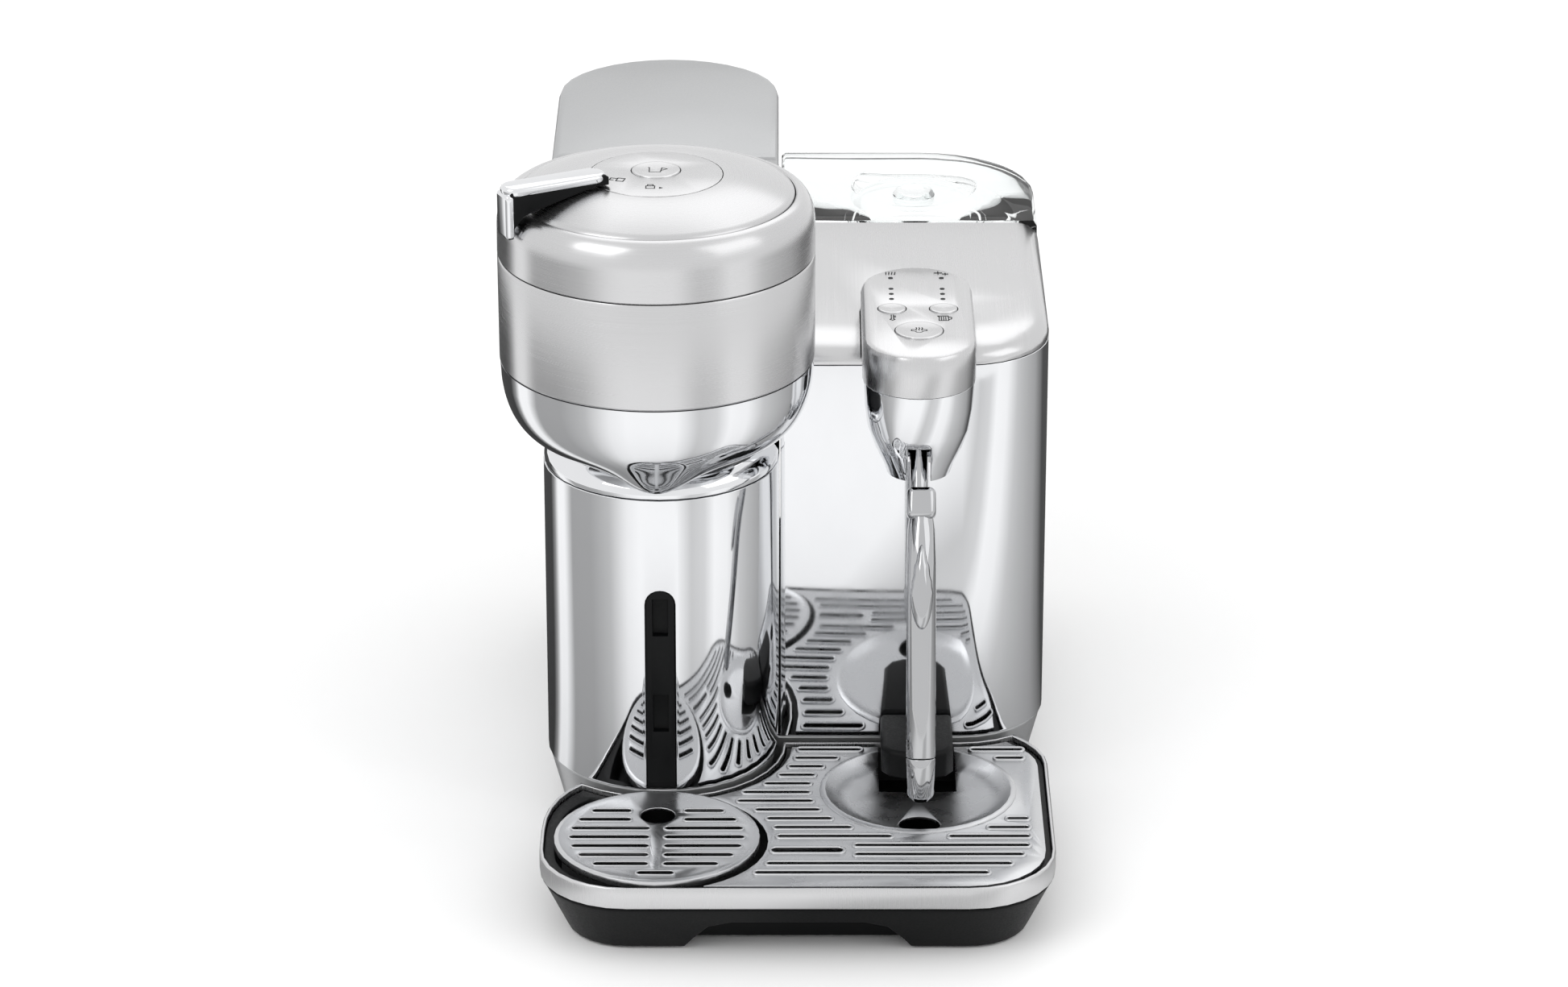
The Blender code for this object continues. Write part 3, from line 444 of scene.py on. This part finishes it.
def block(middle, size, turn=(0, 0, 0), edge=1.5, segments=4):
    """A block with well rounded edges, turned about its middle."""
    begin()
    bpy.ops.mesh.primitive_cube_add(size=MM, location=[value * MM for value in middle],
                                    rotation=[radians(value) for value in turn])
    bpy.context.active_object.scale = size
    bpy.ops.object.transform_apply(location=False, rotation=True, scale=True)
    apply_modifier("BEVEL", width=edge * MM, segments=segments, limit_method="ANGLE")


# ---------------------------------------------------------------- pieces

class COFFEE_OT_head(bpy.types.Operator):
    """Bowl, band and hinged lid of the brewing head"""
    bl_idname = "coffee.head"
    bl_label = "Brewing Head"

    BAND_WALL = 5.5
    RING_FOOT = 299.7
    RING_SEAT = 61.5
    RING_BORE = 58.0
    SHOULDER_START = 62.2
    SHOULDER_REACH = 7.7
    SHOULDER_FALL = 12.8
    DISC_EDGE = 29.7
    CROWN_TOP = 334.3
    CROWN_REACH = 30.8
    CROWN_FALL = 7.6
    CROWN_STEPS = 12
    DOME_EDGE = 61.0
    BOWL_BEND = (66.5, 212.0)
    BOWL_FLOOR = (38.0, 211.7)
    BOWL_STEPS = 30
    BEAK_REACH = 47.5
    BEAK_HALF_WIDTH = 17
    BEAK_HALF_LENGTH = 9
    BEAK_DEPTH = 10.5
    LEVER_ROOT = 31.5
    LEVER_END = 67.3
    LEVER_WIDTH = 13.0
    NOSE_REACH = 72.0
    NOSE_SIZE = (4.2, 11.6, 20.5)

    def execute(self, context):
        low, high, _ = place("head_band")
        inner = HEAD_R - self.BAND_WALL
        turned([(HEAD_R - 0.7, low.z), (HEAD_R - 0.15, low.z + 0.8), (HEAD_R, high.z - 0.9),
                (HEAD_R - 0.5, high.z), (inner, high.z), (inner, low.z)], HEAD, ring=True)
        end("head_band_brushed", FINISHES["ring"], "machine", ["head_band"])
        self.lid_ring()
        self.dome()
        self.bowl(low.z)
        refined("lid_disc", 0.25)
        end("lid_disc_spun", FINISHES["spun"], "lid", ["lid_disc"])
        self.lever()
        return {"FINISHED"}

    def lid_ring(self):
        """Ring round the lid, with a shoulder that curves over to the dome's seat."""
        top, foot, fall = RING_HIGH.z, self.RING_FOOT, self.SHOULDER_FALL
        shoulder = [(self.SHOULDER_START + self.SHOULDER_REACH * sin(radians(angle)),
                     top - fall + fall * cos(radians(angle))) for angle in range(0, 91, 9)]
        inside = [(self.RING_SEAT, foot + 3.3), (self.RING_SEAT, top - 0.5)]
        underside = [(HEAD_R, foot + 0.6), (HEAD_R - 0.5, foot), (self.RING_BORE, foot),
                     (self.RING_BORE, foot + 3.3)]
        turned(inside + shoulder + underside, HEAD, ring=True)
        end("lid_ring_brushed", FINISHES["ring"], "lid", ["lid_ring"])

    def dome(self):
        """Dome that falls away ever faster from the disc to its seat in the ring."""
        crown = []
        for step in range(self.CROWN_STEPS + 1):
            t = step / self.CROWN_STEPS
            crown.append((self.DISC_EDGE + self.CROWN_REACH * t, self.CROWN_TOP - self.CROWN_FALL * t ** 1.7))
        underside = [(self.DOME_EDGE, 325.8), (self.DOME_EDGE, 319), (48, 323)]
        turned([(self.DISC_EDGE, 331)] + crown + underside, HEAD, ring=True)
        end("lid_dome_spun", FINISHES["spun"], "lid", ["lid_dome"], 40)

    def bowl(self, top):
        """Bowl under the band, drawn down in front into the pouring beak."""
        corners = ((HEAD_R - 0.8, top - 7.5), self.BOWL_BEND, self.BOWL_FLOOR)
        wall = []
        for step in range(self.BOWL_STEPS + 1):
            t = step / self.BOWL_STEPS
            weights = ((1 - t) ** 2, 2 * t * (1 - t), t * t)
            wall.append(tuple(sum(w * spot[k] for w, spot in zip(weights, corners)) for k in range(2)))
        base = [(radius, self.BOWL_FLOOR[1]) for radius in range(36, 19, -2)]
        turned([(HEAD_R - 0.4, top - 0.3)] + wall + base, HEAD)
        bpy.ops.object.mode_set(mode="OBJECT")
        for vertex in bpy.context.active_object.data.vertices:
            across = vertex.co.x / MM / self.BEAK_HALF_WIDTH
            along = (vertex.co.y / MM + self.BEAK_REACH) / self.BEAK_HALF_LENGTH
            vertex.co.z -= self.BEAK_DEPTH * MM * exp(-across ** 2) * exp(-along ** 2)
        end("head_bowl_polished", FINISHES["polished"], "machine", ["head_bowl"], 50)

    def lever(self):
        """Black lever body under a polished pill, with a polished nose over the shoulder."""
        angle = sizes().lever
        way = Vector((cos(radians(angle)), sin(radians(angle)), 0))
        top = place("lid_lever")[1].z
        refined("lid_lever", 0.5)
        end("lid_lever_body", FINISHES["black"], "lever", ["lid_lever"])
        root, tip = HEAD + way * self.LEVER_ROOT, HEAD + way * self.LEVER_END
        bar((root.x, root.y), (tip.x, tip.y), self.LEVER_WIDTH, top - 3.6, top + 0.5)
        apply_modifier("BEVEL", width=1.7 * MM, segments=5, limit_method="ANGLE", angle_limit=radians(60))
        end("lid_lever_top", FINISHES["polished"], "lever")
        nose = HEAD + way * self.NOSE_REACH
        block((nose.x, nose.y, top - 12.5), self.NOSE_SIZE, (0, 0, angle), 1.9, 5)
        end("lid_lever_nose", FINISHES["polished"], "lever")


class COFFEE_OT_buttons(bpy.types.Operator):
    """Spun buttons on the lid and the steam pod"""
    bl_idname = "coffee.buttons"
    bl_label = "Buttons"

    def execute(self, context):
        for name in ("brew_button", "steam_button", "temp_button", "froth_button"):
            low, high, middle = place(name)
            radius = (high.x - low.x) / 2
            turned([(radius, low.z), (radius, high.z - 0.6), (radius - 0.25, high.z - 0.2),
                    (radius - 0.8, high.z), (radius - 1.4, high.z - 0.1), (radius * 0.5, high.z - 0.35)],
                   middle)
            spun = spun_stainless("spun_stainless_" + name, (middle.x, middle.y))
            end(name + "_spun", spun, name, [name])
        return {"FINISHED"}


class COFFEE_OT_marks(bpy.types.Operator):
    """Printed marks and indicator lamps on the lid and the pod"""
    bl_idname = "coffee.marks"
    bl_label = "Marks"

    CUP = ((-3.4, 3.0), (-2.9, 3.0), (-2.9, -2.8), (2.0, -2.8), (2.6, 2.6))
    CUP_HANDLE = ((2.6, 2.6), (4.9, 1.2), (2.2, -0.9))
    CLOSED_LOCK = (-56.0, -125.8)
    OPEN_LOCK = (-69.3, -116.3)
    ARROW = (-51.6, -126.8)
    WISP = ((0, 3.2), (0.3, 2.0), (-0.2, 0.8), (0.1, -0.2))
    SPRAY = ((-2.0, 0.9), (-3.4, 0.6), (-3.5, -0.7), (-1.9, -1.2), (-1.0, -2.6), (1.0, -2.6),
             (1.9, -1.2), (3.5, -0.7), (3.4, 0.6), (2.0, 0.9))
    THERMOMETER = ((-0.5, 3.4), (-0.5, -1.2), (-1.1, -2.2), (0, -3.2), (1.1, -2.2), (0.5, -1.2), (0.5, 3.4))
    JUG = ((-2.9, 2.8), (-2.2, 1.4), (-2.4, -2.8), (2.0, -2.8), (1.8, 2.8), (-2.9, 2.8))
    JUG_HANDLE = ((1.9, 1.6), (3.4, 1.0), (3.2, -1.0), (2.0, -1.6))
    LAMP_ROWS = (-6.8, -20.9, -27.5, -34.0)
    TOP_ROW = -0.5

    def execute(self, context):
        _, high, middle = place("brew_button")
        top = high.z - 0.4
        cup = line(self.CUP, middle, top) + line(self.CUP_HANDLE, middle, top)
        self.stamp(cup, "brew_button_mark", "brew_button")
        lid = self.padlock(self.CLOSED_LOCK, DISC_TOP, 0, 0) + self.padlock(self.OPEN_LOCK, DISC_TOP, 75, 1.4)
        lid.append(dot(self.ARROW, 1.1, DISC_TOP, 3, -90))
        self.stamp(lid, "lid_marks", "lid")
        _, high, middle = place("steam_button")
        top = high.z - 0.4
        steam = []
        for start in (-1.3, 0, 1.3):
            steam += line([(start + x, y) for x, y in self.WISP], middle, top)
        steam += line(self.SPRAY, middle, top)
        self.stamp(steam, "steam_button_mark", "steam_button")
        self.pod()
        return {"FINISHED"}

    def stamp(self, items, name, body):
        """Join printed strokes into one mark."""
        join(items)
        end(name, FINISHES["mark"], body)

    def padlock(self, spot, height, turn, opened):
        """A padlock's outline, with its shackle lifted when open."""
        box = line([(-1.9, -1.7), (1.9, -1.7), (1.9, 1.5), (-1.9, 1.5), (-1.9, -1.7)], spot, height, turn)
        return box + line([(-1.2, 1.5 + opened), (-1.2, 3.2 + opened), (1.2, 3.2 + opened), (1.2, 1.5)],
                          spot, height, turn)

    def pod(self):
        """Two columns of lamps with the temperature, froth, steam and cleaning marks."""
        left, right = place("temp_button")[2], place("froth_button")[2]
        items = []
        for column in (left, right):
            items += [dot((column.x, y), 1.15, POD_TOP) for y in self.LAMP_ROWS]
        bulb = (left.x, left.y - 11.5)
        items += line(self.THERMOMETER, bulb, POD_TOP)
        for y in (2.2, 0.8):
            items += line([(0.6, y), (1.4, y)], bulb, POD_TOP)
        jug = (right.x, right.y - 12.2)
        items += line(self.JUG, jug, POD_TOP) + line(self.JUG_HANDLE, jug, POD_TOP)
        for x in (-1.3, -0.3, 0.7):
            items += line([(x, 1.6), (x, -2.0)], jug, POD_TOP)
        steam, sparks = (left.x, self.TOP_ROW), (right.x, self.TOP_ROW)
        for number in range(4):
            items += line([(-2.1 + 1.3 * number, -1.5), (-2.0 + 1.4 * number, 1.2)], steam, POD_TOP)
        for x, y, reach in ((-1.4, 0.4, 1.7), (1.9, -1.0, 1.2)):
            items += line([(x - reach, y), (x + reach, y)], sparks, POD_TOP)
            items += line([(x, y - reach), (x, y + reach)], sparks, POD_TOP)
        self.stamp(items, "pod_marks", "machine")


class COFFEE_OT_body(bpy.types.Operator):
    """Column, panel, hood, apron, tower and bin"""
    bl_idname = "coffee.body"
    bl_label = "Body"

    # Node, finish, body, slot and the rounding of its edges in millimetres.
    PARTS = (
        ("column_shell", "polished", "machine", "polished", 0.3),
        ("column_cap", "polished", "machine", "polished", 0.6),
        # the neck's near black finish is painted shade under the bowl
        ("column_neck", "dark", "machine", "silver", 0.3),
        ("body_panel", "polished", "machine", "polished", 0.3),
        ("hood", "flat", "machine", "brushed", 0.3),
        ("body_apron", "satin", "machine", "silver", 0.4),
        ("tower_cover", "satin", "machine", "satin", 0.5),
        ("bin_cover", "satin", "capsule_bin", "satin", 0.8),
        ("capsule_bin", "satin", "capsule_bin", "satin", 0.5),
        ("bin_dock", "black", "machine", "black", 0.5),
        ("tank_plinth", "satin", "machine", "silver", 0.5),
        ("cup_rail", "black", "machine", "black", 0.3),
        ("jug_sensor", "black", "machine", "black", 0.9),
    )

    def execute(self, context):
        for node, finish, body, slot, edge in self.PARTS:
            refined(node, edge)
            end(node + "_fine", FINISHES[finish], body, [node], 38)
        return {"FINISHED"}


class COFFEE_OT_steam(bpy.types.Operator):
    """Steam pod, its cone neck and the wand"""
    bl_idname = "coffee.steam"
    bl_label = "Steam Side"

    COLLAR_Y = -100.8
    COLLAR_Z = 174.6
    COLLAR_SIZE = (13.2, 9.6, 14.5)
    COLLAR_TILT = -34
    TAB_Y = -124.5
    TAB_Z = 144.0
    TAB_HALF = (5.3, 4.2, 19)
    TAB_TILT = -24
    TAB_WAIST = ((142, 0.88), (148, 0.85), (154, 0.8))

    def execute(self, context):
        refined("pod_cap", 0.6)
        end("pod_cap_brushed", FINISHES["flat"], "machine", ["pod_cap"], 38)
        refined("pod_neck", 0.25)
        end("pod_neck_polished", FINISHES["polished"], "machine", ["pod_neck"], 50)
        for node in ("wand_arm", "wand_tube", "wand_tip"):
            refined(node, 0.4)
            # the wand's drawn finish is polished steel darkened by painted shade
            end(node + "_polished", FINISHES["drawn"], "wand", [node], 50)
        block((TUBE.x, self.COLLAR_Y, self.COLLAR_Z), self.COLLAR_SIZE, (self.COLLAR_TILT, 0, 0), 3.0, 6)
        end("wand_collar", FINISHES["drawn"], "wand")
        self.tab()
        return {"FINISHED"}

    def tab(self):
        """Finger tab: a drop that hangs in front of the tube, narrower above each height of its waist."""
        begin()
        bpy.ops.mesh.primitive_uv_sphere_add(segments=40, ring_count=24, radius=MM,
                                             location=(TUBE.x * MM, self.TAB_Y * MM, self.TAB_Z * MM))
        bpy.context.active_object.scale = self.TAB_HALF
        bpy.ops.object.transform_apply(location=False, rotation=False, scale=True)
        for low, narrowing in self.TAB_WAIST:
            choose(lambda spot: spot.z > low)
            bpy.ops.transform.resize(value=(narrowing, 1, 1))
        bpy.ops.object.mode_set(mode="OBJECT")
        bpy.context.active_object.rotation_euler = (radians(self.TAB_TILT), 0, 0)
        end("wand_finger_tab", FINISHES["drawn"], "wand", (), 60)


class COFFEE_OT_tray(bpy.types.Operator):
    """Drip tray with its band, ribbed grille and cup support"""
    bl_idname = "coffee.tray"
    bl_label = "Drip Tray"

    ROWS = 15
    FIRST_ROW = -192.5
    EDGE_MARGIN = 6.4
    RIM_HEIGHT = 35.3
    WIDE_LEFT, WIDE_RIGHT, WIDE_Y = -3.7, 28.8, -170.3
    WIDE_SLOT = 2.7
    DISH = (63.5, -108.4)
    DISH_CLEAR = 49.6
    COLUMN_Y = -60.5
    COLUMN_CLEAR = 62.7
    CORNER_Y = -158.0
    CORNER_R = 40.0
    SENSOR_LEFT, SENSOR_RIGHT, SENSOR_FRONT = 44, 83, -102
    SHORTEST = 9
    SUPPORT_EDGE = -50
    SUPPORT_ROWS = 8
    SUPPORT_FIRST = 25.6
    SUPPORT_PITCH = 8.9
    SUPPORT_SLOT = 1.8
    SUPPORT_RIM_HEIGHT = 37.8

    def execute(self, context):
        for node, finish, slot, edge in (("tray_tub", "black", "black", 0.5),
                                         ("tray_band", "flat", "brushed", 0.25)):
            refined(node, edge)
            end(node + "_fine", FINISHES[finish], "drip_tray", [node], 38)
        # the grille's and support's pressed finish is rougher steel darkened by painted shade
        refined("tray_grille", 0.35, 2)
        end("tray_grille_pressed", FINISHES["pressed"], "drip_tray", ["tray_grille"], 38)
        refined("cup_support", 0.35, 2)
        end("cup_support_pressed", FINISHES["pressed"], "cup_support", ["cup_support"], 38)
        self.grille_rims()
        self.support_rims()
        return {"FINISHED"}

    def slots(self, y):
        """Ends of the grille's slots in the row at y, clear of the support, dish, column and sensor."""
        left, right = GRILLE_LOW.x + self.EDGE_MARGIN, GRILLE_HIGH.x - self.EDGE_MARGIN
        if y < self.CORNER_Y:
            right += sqrt(self.CORNER_R ** 2 - (y - self.CORNER_Y) ** 2) - self.CORNER_R
        if abs(y - self.WIDE_Y) < 6:
            left = self.WIDE_RIGHT + 5
        spans = [(left, right)]
        rounds = ((SUPPORT.x, SUPPORT.y, SUPPORT_R + 8), (*self.DISH, self.DISH_CLEAR),
                  (COLUMN.x, self.COLUMN_Y, self.COLUMN_CLEAR))
        for x, middle, radius in rounds:
            half = sqrt(max(radius ** 2 - (y - middle) ** 2, 0))
            if half:
                spans = [span for a, b in spans for span in ((a, min(b, x - half)), (max(a, x + half), b))]
        return [(a, b) for a, b in spans if b - a > self.SHORTEST and a > self.SUPPORT_EDGE
                and not (b > self.SENSOR_LEFT and a < self.SENSOR_RIGHT and y > self.SENSOR_FRONT)]

    def grille_rims(self):
        """Rolled rims round the slots of the grille."""
        slot, tube, wide = sizes().slot, sizes().rim, self.WIDE_SLOT
        made = []
        for row in range(self.ROWS):
            y = self.FIRST_ROW + sizes().pitch * row
            for a, b in self.slots(y):
                made.append(rim((a + slot, y), (b - slot, y), slot + 0.55, tube, self.RIM_HEIGHT))
        made.append(rim((self.WIDE_LEFT + wide, self.WIDE_Y), (self.WIDE_RIGHT - wide, self.WIDE_Y),
                        wide + 0.5, tube, self.RIM_HEIGHT))
        join(made)
        end("grille_slot_rims", FINISHES["pressed"], "drip_tray", (), 60)

    def support_rims(self):
        """Rolled rims round the slots of the cup support, in pairs except for the front one."""
        slot = self.SUPPORT_SLOT
        made = []
        for row in range(self.SUPPORT_ROWS):
            y = SUPPORT.y + self.SUPPORT_FIRST - self.SUPPORT_PITCH * row
            half = sqrt((SUPPORT_R - 7) ** 2 - (y - SUPPORT.y) ** 2)
            inner = 12 if row < 2 else 3.4
            front = row == self.SUPPORT_ROWS - 1
            for a, b in ((-8.2, 8.2),) if front else ((-half, -inner), (inner, half)):
                made.append(rim((SUPPORT.x + a + slot, y), (SUPPORT.x + b - slot, y), slot + 0.35, 0.5,
                                self.SUPPORT_RIM_HEIGHT))
        join(made)
        end("support_slot_rims", FINISHES["pressed"], "cup_support", (), 60)


class COFFEE_OT_tank(bpy.types.Operator):
    """Clear water tank, its lid and the knob"""
    bl_idname = "coffee.tank"
    bl_label = "Water Tank"

    def execute(self, context):
        for node, body in (("water_tank", "tank"), ("tank_lid", "tank_lid"), ("tank_knob", "tank_lid")):
            refined(node, 0.5)
            end(node + "_clear", FINISHES["clear"], body, [node], 38)
        return {"FINISHED"}


class COFFEE_OT_works(bpy.types.Operator):
    """Finishes of the pieces inside and underneath"""
    bl_idname = "coffee.works"
    bl_label = "Works"

    def execute(self, context):
        inside = {
            "cast": ("coffee_heater", "steam_heater"),
            "board": ("control_board",),
            "satin": ("tank_bulkhead",),
            "zinc": ("holder_bearing", "capsule_holder", "flow_meter"),
            "rubber": ("rubber_foot_1", "rubber_foot_2", "rubber_foot_3", "rubber_foot_4", "drive_belt"),
        }
        chosen = {node: finish for finish, group in inside.items() for node in group}
        for name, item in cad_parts.items():
            item.data.materials.clear()
            item.data.materials.append(FINISHES[chosen.get(name, "black")])
        return {"FINISHED"}


class COFFEE_OT_stage(bpy.types.Operator):
    """White floor, soft surround, a toned card for the metal to reflect, and the camera"""
    bl_idname = "coffee.stage"
    bl_label = "Studio"

    FLOOR = 14
    LAMPS = (("key", (-1.3, -1.2, 1.9), 1.2, 8), ("fill", (1.5, -0.8, 1.5), 1.4, 4),
             ("back", (0.2, 1.5, 1.9), 1.5, 5))
    AIM = (0, 0, 0.15)
    CAMERA = (0.0021, -2.3860, 1.1425)
    CAMERA_TILT = 67.15
    LENS = 126.7
    FILM_WIDTH = 36
    CARD_RADIUS = 1.6
    CARD_Y = -0.085
    TONES = ((0, 0.5), (20, 0.35), (38, 0.05), (140, 0.03), (148, 0.3), (154, 1.0), (165, 1.0), (176, 0.36),
             (200, 0.36), (220, 0.5), (238, 0.9), (250, 1.0), (284, 1.0), (299, 0.62), (312, 0.7), (322, 1.0),
             (336, 0.95), (350, 0.6))

    def execute(self, context):
        self.surround(context)
        self.lamps(context)
        self.toned_card(context)
        self.camera(context)
        return {"FINISHED"}

    def surround(self, context):
        """White paper floor under an even white sky."""
        begin()
        bpy.ops.mesh.primitive_plane_add(size=self.FLOOR, location=(0, 0, 0))
        floor = context.active_object
        floor.name = "studio_floor"
        material, tree, shader, vector = new_finish("matt_white_paper")
        shader.inputs["Base Color"].default_value = linear(colours().floor)
        tree.links.new(spread(tree, grain(tree, vector, (4, 4, 4)), 0.8, 0.9), shader.inputs["Roughness"])
        floor.data.materials.append(material)
        world = bpy.data.worlds.new("soft_surround")
        world.use_nodes = True
        world.node_tree.nodes["Background"].inputs["Color"].default_value = (1, 1, 1, 1)
        world.node_tree.nodes["Background"].inputs["Strength"].default_value = 1.0
        context.scene.world = world
        context.scene.view_settings.view_transform = "Standard"

    def lamps(self, context):
        """Soft boxes aimed at the middle of the machine."""
        for name, spot, size, power in self.LAMPS:
            lamp = bpy.data.lights.new(name, "AREA")
            lamp.size, lamp.energy = size, power
            lamp_object = bpy.data.objects.new(name, lamp)
            lamp_object.location = spot
            aim = Vector(self.AIM) - Vector(spot)
            lamp_object.rotation_euler = aim.to_track_quat("-Z", "Y").to_euler()
            context.collection.objects.link(lamp_object)

    def camera(self, context):
        """Camera in front of the machine, looking down on it."""
        camera = bpy.data.cameras.new("camera")
        camera.lens, camera.sensor_width = self.LENS, self.FILM_WIDTH
        item = bpy.data.objects.new("camera", camera)
        item.location = self.CAMERA
        item.rotation_euler = (radians(self.CAMERA_TILT), 0, 0)
        context.collection.objects.link(item)
        context.scene.camera = item

    def toned_card(self, context):
        """A toned disc on the floor that only reflections see, so polished metal has edges to show.

        An upright mirror seen from above reflects the floor, so that is where it lies. Its tone follows
        the direction from its centre: pairs of degrees and grey."""
        material, tree, shader, vector = new_finish("toned_studio_card")
        sweep = add_node(tree, "ShaderNodeTexGradient", [("Vector", vector)], gradient_type="RADIAL")
        tones = add_node(tree, "ShaderNodeValToRGB", [("Fac", sweep.outputs["Fac"])])
        tree.links.new(tones.outputs["Color"], shader.inputs["Base Color"])
        shader.inputs["Roughness"].default_value = 1.0
        stops = sorted(((angle + 180) % 360 / 360, grey) for angle, grey in self.TONES)
        elements = tones.color_ramp.elements
        elements[0].position, elements[1].position = stops[0][0], stops[-1][0]
        for position, grey in stops[1:-1]:
            elements.new(position)
        for element, (position, grey) in zip(elements, stops):
            element.color = (grey, grey, grey, 1)
        begin()
        bpy.ops.mesh.primitive_circle_add(vertices=96, radius=self.CARD_RADIUS, fill_type="NGON",
                                          location=(HEAD.x * MM, self.CARD_Y, 0.0006))
        card = context.active_object
        card.name = "toned_studio_card"
        card.data.materials.append(material)
        for kind in ("camera", "diffuse", "shadow", "transmission"):
            setattr(card, "visible_" + kind, False)


OPERATORS = (COFFEE_OT_works, COFFEE_OT_head, COFFEE_OT_buttons, COFFEE_OT_marks, COFFEE_OT_body,
             COFFEE_OT_steam, COFFEE_OT_tray, COFFEE_OT_tank, COFFEE_OT_stage)


class COFFEE_PT_panel(bpy.types.Panel):
    """Lists the pieces of the coffee machine"""
    bl_idname = "COFFEE_PT_panel"
    bl_label = "Pod Coffee Machine"
    bl_space_type = "VIEW_3D"
    bl_region_type = "UI"
    bl_category = "Coffee"

    def draw(self, context):
        for operator in OPERATORS:
            self.layout.operator(operator.bl_idname)
        for group in (context.scene.coffee_sizes, context.scene.coffee_colours):
            for key in group.__annotations__:
                self.layout.prop(group, key)


CLASSES = (CoffeeSizes, CoffeeColours) + OPERATORS + (COFFEE_PT_panel,)


def register():
    for item in CLASSES:
        bpy.utils.register_class(item)
    bpy.types.Scene.coffee_sizes = PointerProperty(type=CoffeeSizes)
    bpy.types.Scene.coffee_colours = PointerProperty(type=CoffeeColours)


def unregister():
    del bpy.types.Scene.coffee_sizes
    del bpy.types.Scene.coffee_colours
    for item in reversed(CLASSES):
        bpy.utils.unregister_class(item)


def main():
    register()
    make_finishes()
    for name in ("works", "head", "buttons", "marks", "body", "steam", "tray", "tank", "stage"):
        getattr(bpy.ops.coffee, name)()


if __name__ == "__main__":
    main()
